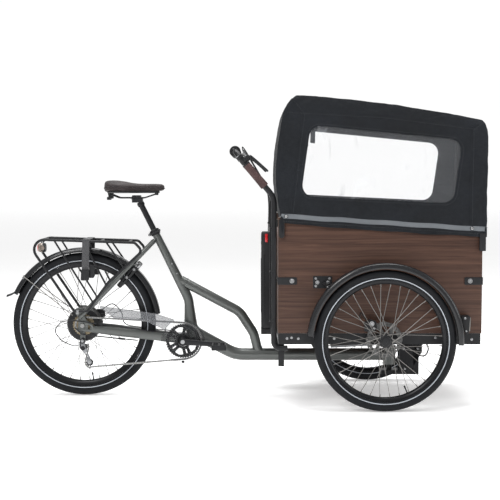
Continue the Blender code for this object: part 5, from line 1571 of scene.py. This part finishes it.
def crank_arm(name, side):
    """An arm with its boss on the bracket's axis, and its pedal; the right one points forward."""
    heading = CRANK_AIM if side < 0 else -CRANK_AIM
    out = LEFT * side
    axis = BRACKET + heading * CRANK_LENGTH
    arm = Piece(f"{name}_crank_v", "crankset", "tube_black", "chrome", "plastic")
    rows = []
    for reach, tall, thick in CRANK_SECTIONS:
        centre = BRACKET + heading * reach + out * 0.082
        rows.append([centre + LEFT * thick * aside + heading.cross(LEFT) * tall * upright
                     for aside, upright in squared(24, 0.6, 0.7)])
    arm.rings(rows)
    inner = 0.0455 if side < 0 else 0.0740
    wide = 0.0245 if side < 0 else 0.0175
    arm.turn([(0.0084, inner), (wide, inner), (wide, inner + 0.006), (wide * 0.8, inner + 0.014),
              (0.0165, 0.0880), (0.0150, 0.0898), (0, 0.0898)], BRACKET, out, 36)
    arm.turn([(0, 0.0890), (0.0105, 0.0890), (0.0095, 0.0905), (0, 0.0905)], BRACKET, out, 28, 1)
    arm.turn([(0, 0.0740), (0.0130, 0.0740), (0.0140, 0.0780), (0.0140, 0.0885), (0, 0.0895)],
             axis, out, 28)
    arm.turn([(0, 0.080), (0.0075, 0.0895), (0.0075, 0.0950), (0.0054, 0.0955), (0.0054, 0.1855),
              (0, 0.1860)], axis, out, 20, 1)
    if side > 0:
        arm.tube([BRACKET + Vector((0, -0.0451, 0)), BRACKET + out * 0.080], 0.0085, 20, 1)
    arm.done(f"{name}_crank")
    pedal(name, side, axis)


def cassette():
    """Six cogs on a carrier; the larger ones have windows."""
    cogs = Piece("cassette_v", "cassette", "bronze", "steel", "plastic")
    centre = Vector((REAR_AXLE.x, 0, REAR_AXLE.z))
    for radius, y, teeth in ((0.0500, -0.0373, 27), (0.0460, -0.0400, 25), (0.0425, -0.0427, 23),
                             (0.0324, -0.0480, 18), (0.0300, -0.0515, 16), (0.0278, -0.0545, 15)):
        holes = [circle(polar(centre, radius * 0.66, 60 * i), radius * 0.15, 12) for i in range(6)]
        holes = holes if radius > 0.04 else []
        cogs.plate(toothed(centre, radius, teeth, 0.0012, 0.0022), y - 0.0007, y + 0.0007,
                   [*holes, circle(centre, 0.0178, 24)], 0, 0.0002)
    cogs.turn([(0.0165, -0.0365), (0.0192, -0.0365), (0.0192, -0.0570), (0.0230, -0.0575), (0.0225, -0.0598),
               (0.0165, -0.0600)], REAR_AXLE, LEFT, 32, 1, True)
    cogs.done("cassette")


def pedal(name, side, axis):
    """A platform pedal with a cage, a grip tape on top and reflectors."""
    made = Piece(f"{name}_pedal_v", f"{name}_pedal", "plastic", "chrome", "smoke", "rubber")
    low, high = sorted_pair(side * 0.0965, side * 0.1875)
    for x, near, far in ((-0.0310, -0.0022, 0.0002), (0.0270, 0.0038, 0.0062)):
        made.block((axis.x + x, low, axis.z - 0.0120), (axis.x + x + 0.0040, high, axis.z + 0.0120),
                   0.0012, 0)
        made.block((axis.x + x + near, low + 0.020, axis.z - 0.0070),
                   (axis.x + x + far, high - 0.020, axis.z + 0.0070), 0.0008, 2)
    for y in (low, low + 0.0285, high - 0.0325, high - 0.0040):
        made.block((axis.x - 0.0335, y, axis.z - 0.0122), (axis.x + 0.0335, y + 0.0040, axis.z + 0.0122),
                   0.0015, 0)
    made.turn([(0.0061, 0.0970), (0.0110, 0.0970), (0.0110, 0.1860), (0.0061, 0.1860)], axis, LEFT * side, 24,
              0, True)
    for x in (-0.024, -0.016, 0.016, 0.024):
        made.block((axis.x + x - 0.0015, low + 0.004, axis.z - 0.0100),
                   (axis.x + x + 0.0015, high - 0.004, axis.z + 0.0100), 0.0008, 3)
    made.done(f"{name}_pedal")


def derailleur():
    """The derailleur's fixed body, its cage and two pulleys."""
    made = Piece("derailleur_body_v", "rear_frame", "alloy", "tube_black", "chrome")
    made.turn([(0, -0.0100), (0.0120, -0.0100), (0.0125, -0.0060), (0.0125, 0.0080), (0.0100, 0.0095),
               (0, 0.0095)], (-0.724, -0.0822, 0.2640), LEFT, 28, 1)
    made.bar((-0.724, -0.0840, 0.2640), (-0.7200, -0.0855, 0.2290), 0.0120, 0.0190, 0.004)
    made.bar((-0.733, -0.0780, 0.2600), (-0.7290, -0.0780, 0.2270), 0.0040, 0.0160, 0.0015, 1)
    made.turn([(0, -0.0110), (0.0105, -0.0110), (0.0110, -0.0060), (0.0110, 0.0070), (0, 0.0085)],
              (-0.7220, -0.0810, 0.2310), LEFT, 28, 1)
    made.bolt((-0.724, -0.0922, 0.2640), -LEFT, 0.0050, 0.0030, 2)
    made.bolt((-0.7400, -0.0822, 0.2440), (-1, 0, 0), 0.0035, 0.0030, 2)
    made.done("derailleur_body")
    cage = Piece("derailleur_cage_v", "derailleur_cage", "alloy", "chrome")
    reach = (TENSION - GUIDE).normalized()
    across = Vector((reach.z, 0, -reach.x))
    for y in (-0.0560, -0.0400):
        shape = []
        for along_by, aside in ((-0.0100, -0.0040), (-0.0085, 0.0085), (0.0120, 0.0120), (0.0420, 0.0050),
                                (0.0640, 0.0100), (0.0830, 0.0080), (0.0860, -0.0040), (0.0720, -0.0095),
                                (0.0400, -0.0060), (0.0080, -0.0090)):
            point = GUIDE + reach * along_by + across * aside
            shape.append((point.x, point.z))
        slot = [GUIDE + reach * a + across * b for a, b in ((0.026, -0.002), (0.026, 0.004), (0.050, 0.003),
                                                            (0.050, -0.002))]
        cage.plate(rounded(shape, 0.0035, 4), y - 0.0009, y + 0.0009,
                   [rounded([(p.x, p.z) for p in slot], 0.0015, 3)], 0, 0.0003)
    cage.tube([(GUIDE.x, -0.0716, GUIDE.z), (GUIDE.x, -0.0385, GUIDE.z)], 0.0030, 16, 1)
    cage.tube([(TENSION.x, -0.0575, TENSION.z), (TENSION.x, -0.0385, TENSION.z)], 0.0030, 16, 1)
    cage.bolt((TENSION.x, -0.0570, TENSION.z), -LEFT, 0.0038, 0.0030, 1)
    cage.bolt((GUIDE.x, -0.0570, GUIDE.z), -LEFT, 0.0050, 0.0030, 1)
    cage.done("derailleur_cage")
    for name, centre in (("guide_pulley", GUIDE), ("tension_pulley", TENSION)):
        wheel = Piece(f"{name}_v", name, "plastic", "steel")
        wheel.plate(toothed(centre, 0.0178, 11, 0.0004, 0.0022), CHAIN_Y - 0.0012, CHAIN_Y + 0.0012,
                    [circle(centre, 0.0034, 16)], 0, 0.0002)
        wheel.turn([(0.0034, -0.0034), (0.0100, -0.0034), (0.0115, -0.0012), (0.0115, 0.0012),
                    (0.0100, 0.0034), (0.0034, 0.0034)], centre, LEFT, 24, 1, True)
        wheel.done(name)


def chain_guard():
    """A clear guard over the upper run of the chain."""
    made = Piece("chain_guard_v", "rear_frame", "guard", "steel_black", "plastic", "guard_band")
    made.plate(circle(BRACKET, 0.1018, 72), -0.0606, -0.0590, [circle(BRACKET, 0.0302, 40)], 0, 0.0003)
    band = [(-0.663, 0.4265), (-0.579, 0.3640), (-0.431, 0.3520), (-0.335, 0.3050),
            (-0.340, 0.3220), (-0.318, 0.3440), (-0.290, 0.3570), (-0.382, 0.3870)]
    made.plate(rounded(band, 0.006, 4), -0.0605, -0.0591, (), 3, 0.0003)
    for degrees in (-90, 30, 150):
        made.bolt(polar(BRACKET, 0.0940, degrees, -0.0606), -LEFT, 0.0030, 0.0020, 1)
    made.block((BRACKET.x - 0.0065, -0.0625, 0.1575), (BRACKET.x + 0.0065, -0.0575, 0.1680), 0.0015, 2)
    made.done("chain_guard", 60)


# ---------------------------------------------------------------- steering, battery, front

SLOPE = Vector((-0.6481, 0, 0.7615))
AHEAD_BAR = Vector((0.7615, 0, 0.6481))
BAR_SIDE = 0.3
BAR_KNEE = Vector((0.154, 0, 0.930))
BAR_CORNER = Vector((-0.0175, 0, 1.1315))


def handlebar():
    """The push bar: up the box, back along a slope, and across, with the levers' clamps."""
    bar = Piece("handlebar_v", "steered_box", "tube_black", "chrome", "plastic", "steel_black")
    half = [(0.215, BAR_SIDE, 0.262), (0.154, BAR_SIDE, 0.262), (0.154, BAR_SIDE, 0.930),
            (-0.0175, BAR_SIDE, 1.1315)]
    corners = [(x, -y, z) for x, y, z in half] + [(x, y, z) for x, y, z in reversed(half)]
    bar.tube(bend(corners, (0.030, 0.080, 0.045, 0.045, 0.080, 0.030), 12), 0.0125, 28)
    for _, side in SIDES:
        y = side * BAR_SIDE
        bar.block((0.1540, y - 0.0080, 0.8000), (0.1716, y + 0.0080, 0.8320), 0.0015, 3)
        for z in (0.8060, 0.8260):
            bar.bolt((0.1600, y - side * 0.0080, z), LEFT * -side, 0.0030, 0.002, 1)
        at = BAR_KNEE + LEFT * y + SLOPE * 0.208
        bar.bar(at - AHEAD_BAR * 0.0135, at + AHEAD_BAR * 0.0300, 0.0190, 0.0200, 0.004, 3)
        bar.tube([at - SLOPE * 0.0080, at + SLOPE * 0.0080], 0.0158, 28, 3)
        tip = at + AHEAD_BAR * 0.0250
        bar.tube([tip + SLOPE * 0.008, tip + SLOPE * 0.030], 0.0065, 20, 1)
        bar.bolt(at + AHEAD_BAR * 0.006 + LEFT * side * 0.0095, LEFT * side, 0.0035, 0.002, 1)
        end = BAR_KNEE + LEFT * y + SLOPE * 0.226
        bar.tube([end, end + SLOPE * 0.010], 0.0175, 28, 2)
        bar.tube([end + SLOPE * 0.012, end + SLOPE * 0.015], 0.0170, 28, 1)
    bar.done("handlebar")


def bar_collars():
    """A collar at each end of the crossbar."""
    collars = Piece("bar_collars", "steered_box", "plastic", "chrome")
    for _, side in SIDES:
        corner = BAR_CORNER + Vector((0.004, 0, -0.003))
        collars.turn([(0.0122, 0.236), (0.0235, 0.236), (0.0250, 0.240), (0.0250, 0.252), (0.0235, 0.256),
                      (0.0122, 0.256)], BAR_CORNER, LEFT * side, 36, 0, True)
        collars.bolt(corner + LEFT * side * 0.256 + SLOPE * 0.017, LEFT * side, 0.0030, 0.002, 1)
    collars.done()


def grip(name, side):
    """A ribbed grip on the slope of the bar, with an end ring."""
    base = BAR_KNEE + LEFT * side * BAR_SIDE
    cover = Piece(f"{name}_grip_v", "steered_box", "grip", "steel_black")
    rows = []
    for reach, radius in zip(spread([0.0620, 0.1920], 40), spread([0.0186, 0.0176, 0.0172, 0.0178], 40)):
        ring = []
        for i in range(32):
            t = math.tau * i / 32
            ribs = 0.0005 * (math.sin(reach * 900) > 0.2) * (0.066 < reach < 0.185)
            size = radius + ribs * (1 if math.cos(3 * t) > -0.4 else 0)
            ring.append(base + SLOPE * reach + (AHEAD_BAR * math.cos(t) + LEFT * math.sin(t)) * size)
        rows.append(ring)
    cover.rings(rows)
    cover.tube([base + SLOPE * 0.1860, base + SLOPE * 0.1920], 0.0184, 32, 1)
    cover.done(f"{name}_grip")


def brake_lever(name, side):
    """A tapered lever on its pivot under the clamp."""
    base = BAR_KNEE + LEFT * side * BAR_SIDE
    lever = Piece(f"{name}_brake_lever_v", f"{name}_brake_lever", "steel_black", "chrome")
    pivot = base + SLOPE * 0.208 + AHEAD_BAR * 0.0372
    rows = []
    for share, tall, thick in ((0, 0.0060, 0.0055), (0.12, 0.0062, 0.0056), (0.4, 0.0052, 0.0046),
                               (0.75, 0.0048, 0.0044), (0.93, 0.0056, 0.0050), (1.0, 0.0036, 0.0036)):
        centre = pivot + (SLOPE * -0.105 + AHEAD_BAR * 0.016) * share
        centre = centre + AHEAD_BAR * 0.0020 * math.sin(share * math.pi)
        turns = [math.tau * i / 18 for i in range(18)]
        rows.append([centre + AHEAD_BAR * thick * math.cos(t) + LEFT * tall * math.sin(t) for t in turns])
    lever.rings(rows)
    lever.tube([pivot - LEFT * 0.0068, pivot + LEFT * 0.0068], 0.0034, 16, 1)
    lever.done(f"{name}_brake_lever")


def bar_cables():
    """A cable from each lever's clamp down the bar, with three clips a side."""
    wires = Piece("bar_cables", "steered_box", "plastic")
    for _, side in SIDES:
        base = BAR_KNEE + LEFT * side * BAR_SIDE
        start = base + SLOPE * 0.238 + AHEAD_BAR * 0.025
        wires.tube(smooth_path([start, start + SLOPE * 0.020 + AHEAD_BAR * 0.012 - LEFT * side * 0.010,
                                (0.040, side * 0.262, 1.116), (0.115, side * 0.268, 0.985),
                                (0.139, side * 0.285, 0.900), (0.137, side * 0.2950, 0.700),
                                (0.137, side * 0.2980, 0.420), (0.1450, side * 0.2920, 0.300)], 0.014),
                   0.0024, 10)
        for z in (0.380, 0.600, 0.790):
            wires.tube([(0.1490, side * 0.299, z), (0.1490, side * 0.299, z + 0.008)], 0.0150, 24)
    wires.done()


def battery():
    """A battery case with a lock, red marks on both sides and a carrying handle."""
    made = Piece("battery_v", "battery", "plastic", "steel_black", "red", "chrome", "smoke")
    outline = rounded([(0.1000, -0.0425), (0.1620, -0.0425), (0.1620, 0.0425), (0.1000, 0.0425)], 0.012, 6)
    middle, half_length, half_width = 0.131, 0.031, 0.0425
    rows = []
    for z, grow in ((0.3136, -0.004), (0.3170, -0.001), (0.3250, 0), (0.6700, 0), (0.6720, -0.0012),
                    (0.6745, -0.0012), (0.6765, 0), (0.7500, 0), (0.7600, -0.0015), (0.7648, -0.0060)):
        rows.append([(middle + (x - middle) * (1 + grow / half_length), y * (1 + grow / half_width), z)
                     for x, y in outline])
    made.rings(rows)
    made.block((0.0985, -0.0300, 0.3900), (0.1010, 0.0300, 0.6400), 0.001, 1)
    made.tube([(0.0985, -0.0200, 0.7150), (0.1010, -0.0200, 0.7150)], 0.0070, 20, 3)
    made.block((0.1180, -0.0434, 0.7180), (0.1300, -0.0420, 0.7560), 0.0004, 2)
    made.block((0.1180, 0.0420, 0.7180), (0.1300, 0.0434, 0.7560), 0.0004, 2)
    made.block((0.1100, -0.0436, 0.3600), (0.1180, -0.0420, 0.6600), 0.0004, 1)
    for _, side in SIDES:
        made.block((0.1400, side * 0.0250 - 0.004, 0.7640), (0.1480, side * 0.0250 + 0.004, 0.7672), 0.001, 1)
    made.tube([(0.1440, -0.0250, 0.7670), (0.1440, 0.0250, 0.7670)], 0.0024, 12, 1)
    made.done("battery")


def front_mudguard(name, side):
    """A guard over a front wheel, held by two tube stays and a plate on the box."""
    centre = Vector((0.636, side * 0.400, 0.309))
    guard = Piece(f"front_{name}_mudguard_v", "steered_box", "gloss", "spoke", "chrome", "steel_black")
    guard_shell(guard, centre, 0.3400, -3, 176, 0.0300, 96, 0.0240)
    for degrees, low in ((137, 0.338), (174.5, 0.3375)):
        foot = polar(centre, low, degrees, side * 0.379)
        if degrees == 137:
            guard.tube([(0.368, side * 0.3124, 0.556), (0.3740, side * 0.3400, 0.5540), foot],
                       0.0056, 14, 3)
            guard.bolt(polar(centre, 0.3415, 137, side * 0.383), polar(Vector((0, 0, 0)), 1, 137),
                       0.0045, 0.003, 2)
        else:
            guard.tube([(0.368, side * 0.3124, foot.z), foot], 0.0056, 14, 3)
    plate = sorted_pair(side * 0.3106, side * 0.3142)
    guard.block((0.326, plate[0], 0.530), (0.410, plate[1], 0.583), 0.0015, 3)
    for x in (0.338, 0.398):
        for z in (0.5400, 0.5730):
            guard.bolt((x, side * 0.3144, z), LEFT * side, 0.0042, 0.0028, 2)
    guard.done(f"front_{name}_mudguard")


def front_caliper(name, side):
    """A front disc caliper, its bracket and a short hose."""
    caliper = Piece(f"front_{name}_caliper_v", "steered_box", "steel_black", "chrome", "plastic")
    half = rounded([(0.5500, 0.3440), (0.6030, 0.3500), (0.6000, 0.3900), (0.5700, 0.3990),
                    (0.5500, 0.3800)], 0.008)
    for inner, outer in ((0.3500, 0.3592), (0.3658, 0.3733)):
        caliper.plate(half, *sorted_pair(side * inner, side * outer), (), 0, 0.0014)
    ends = sorted_pair(side * 0.3500, side * 0.3733)
    caliper.block((0.5485, ends[0], 0.3460), (0.5560, ends[1], 0.3900), 0.002)
    ends = sorted_pair(side * 0.3108, side * 0.3520)
    caliper.block((0.5520, ends[0], 0.3500), (0.5760, ends[1], 0.3740), 0.0025)
    caliper.bolt((0.5800, side * 0.3733, 0.3800), LEFT * side, 0.0080, 0.004, 1)
    caliper.bolt((0.5900, side * 0.3733, 0.3600), LEFT * side, 0.0042, 0.003, 1)
    caliper.tube(smooth_path([(0.5560, side * 0.3600, 0.3960), (0.5400, side * 0.3500, 0.4200),
                              (0.5350, side * 0.3250, 0.4200), (0.5300, side * 0.3140, 0.3900)], 0.008),
                 0.0024, 10, 2)
    caliper.done(f"front_{name}_caliper")


def headlamp(name, side):
    """A slim lamp on the side of the box."""
    lamp = Piece(f"{name}_headlamp_v", "steered_box", "plastic", "chrome", "clear", "spoke")
    low, high = sorted_pair(side * 0.3106, side * 0.3555)
    outline = rounded([(0.9710, 0.4115), (0.9845, 0.3500), (0.9940, 0.3325), (1.0080, 0.3325),
                       (1.0130, 0.4115)], 0.006, 5)
    lamp.plate(outline, low, high, (), 0, 0.0040)
    faces = sorted_pair(side * 0.3150, side * 0.3510)
    lamp.bar((1.0100, (low + high) / 2, 0.3440), (1.0135, (low + high) / 2, 0.4040), faces[1] - faces[0],
             0.0060, 0.0015, 3)
    lamp.bolt((0.9900, side * 0.3555, 0.4020), LEFT * side, 0.0036, 0.002, 1)
    lamp.bolt((0.9960, side * 0.3555, 0.3450), LEFT * side, 0.0030, 0.002, 1)
    lamp.done(f"front_{name}_lamp")


def underbody():
    """The damper rod, the cable loop and the plates of the pivot casting under the box."""
    under = Piece("underbody_trim", "steered_box", "steel_black", "alloy", "plastic", "chrome")
    under.tube([(0.4200, -0.0800, 0.2400), (0.6200, -0.0800, 0.2500)], 0.0085, 24, 1)
    under.tube([(0.5200, -0.0800, 0.2450), (0.6600, -0.0800, 0.2520)], 0.0045, 16, 3)
    under.tube(smooth_path([(0.8000, -0.0400, 0.2420), (0.8300, -0.0440, 0.1960), (0.8620, -0.0440, 0.1900),
                            (0.8780, -0.0400, 0.2200), (0.8700, -0.0300, 0.2440)], 0.008), 0.0032, 10, 2)
    casting = rounded([(0.7440, 0.1080), (0.7900, 0.1040), (0.8500, 0.2050), (0.8500, 0.2380),
                       (0.7440, 0.2380)], 0.010, 5)
    for _, side in SIDES:
        under.plate(casting, *sorted_pair(side * 0.0290, side * 0.0350), (), 0, 0.0012)
        for x, z in ((0.7640, 0.2200), (0.8300, 0.2200), (0.7700, 0.1260)):
            under.bolt((x, side * 0.0350, z), LEFT * side, 0.0042, 0.003, 3)
    under.done()


# ---------------------------------------------------------------- studio

WORLD = 0.50
LIGHTS = (
    ("key", (-2.2, -3.6, 4.2), (2.4, 1.4), 120),
    ("top", (0.3, 0.3, 4.6), (4.0, 2.6), 230),
    ("side", (4.2, -2.0, 2.2), (0.8, 2.6), 40),
)
LIGHT_AIM = Vector((0.1, 0, 0.6))
CAMERA_AT = (0.0485, -5.491, 1.0275)
CAMERA_DOWN = 3.635
LENS, SENSOR = 85.0, 36.0


def studio():
    """A pale floor, soft light from above and in front, and the camera at the drive side."""
    mesh = bpy.data.meshes.new("floor")
    mesh.from_pydata([(-40, -40, 0), (40, -40, 0), (40, 40, 0), (-40, 40, 0)], [], [(0, 1, 2, 3)])
    floor = bpy.data.objects.new("floor", mesh)
    floor.location.z = -0.0008
    bpy.context.scene.collection.objects.link(floor)
    ground = Paint("studio_floor", (0.93, 0.93, 0.93), 0.9, Specular_IOR_Level=0.0)
    ground.shades(ground.noise(2), (0.4, (0.93, 0.93, 0.93)), (0.6, (0.94, 0.94, 0.94)))
    ground.shader["Emission Color"].default_value = (1, 1, 1, 1)
    ground.shader["Emission Strength"].default_value = 0.30
    mesh.materials.append(ground.material)

    backdrop = bpy.data.meshes.new("backdrop")
    backdrop.from_pydata([(-40, 30, -1), (40, 30, -1), (40, 30, 40), (-40, 30, 40)], [], [(0, 1, 2, 3)])
    glow = Paint("studio_backdrop", (0, 0, 0), 1.0, Specular_IOR_Level=0.0)
    glow.shader["Emission Color"].default_value = (1, 1, 1, 1)
    glow.shader["Emission Strength"].default_value = 1.02
    backdrop.materials.append(glow.material)
    wall = bpy.data.objects.new("backdrop", backdrop)
    bpy.context.scene.collection.objects.link(wall)

    world = bpy.data.worlds.new("studio")
    bpy.context.scene.world = world
    world.use_nodes = True
    sky = world.node_tree.nodes["Background"].inputs
    sky["Color"].default_value = (1, 1, 1, 1)
    sky["Strength"].default_value = WORLD
    for name, place, size, power in LIGHTS:
        data = bpy.data.lights.new(name, "AREA")
        data.shape = "RECTANGLE"
        data.size, data.size_y = size
        data.energy = power
        lamp = bpy.data.objects.new(name, data)
        lamp.location = place
        lamp.rotation_euler = (LIGHT_AIM - Vector(place)).to_track_quat("-Z", "Y").to_euler()
        bpy.context.scene.collection.objects.link(lamp)

    data = bpy.data.cameras.new("camera")
    data.lens = LENS
    data.sensor_width = SENSOR
    camera = bpy.data.objects.new("camera", data)
    camera.location = CAMERA_AT
    camera.rotation_euler = (math.radians(90 - CAMERA_DOWN), 0, 0)
    bpy.context.scene.collection.objects.link(camera)
    bpy.context.scene.camera = camera
    bpy.context.scene.view_settings.view_transform = "Standard"


def cad_finish():
    """Materials of the nodes that are shown as they are."""
    looks = {"box_rail_frame": "steel_black", "battery_dock": "plastic", "kingpin": "steel_black",
             "rear_axle": "steel"}
    for node, look in looks.items():
        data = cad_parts[node].data
        data.materials.clear()
        data.materials.append(paints[look].material)
        data.polygons.foreach_set("material_index", [0] * len(data.polygons))


# ---------------------------------------------------------------- build

cad_finish()
rear_wheel()
front_wheels()
box()
canopy()
rear_frame()
seat()
rear_mudguard()
rear_rack()
rack_strap()
tail_lamp()
ring_lock()
rear_caliper()
cables()
chain()
chainring()
for name, side in SIDES:
    crank_arm(name, side)
cassette()
derailleur()
chain_guard()
handlebar()
bar_collars()
for name, side in SIDES:
    grip(name, side)
    brake_lever(name, side)
bar_cables()
battery()
for name, side in SIDES:
    front_mudguard(name, side)
    front_caliper(name, side)
    headlamp(name, side)
underbody()
studio()
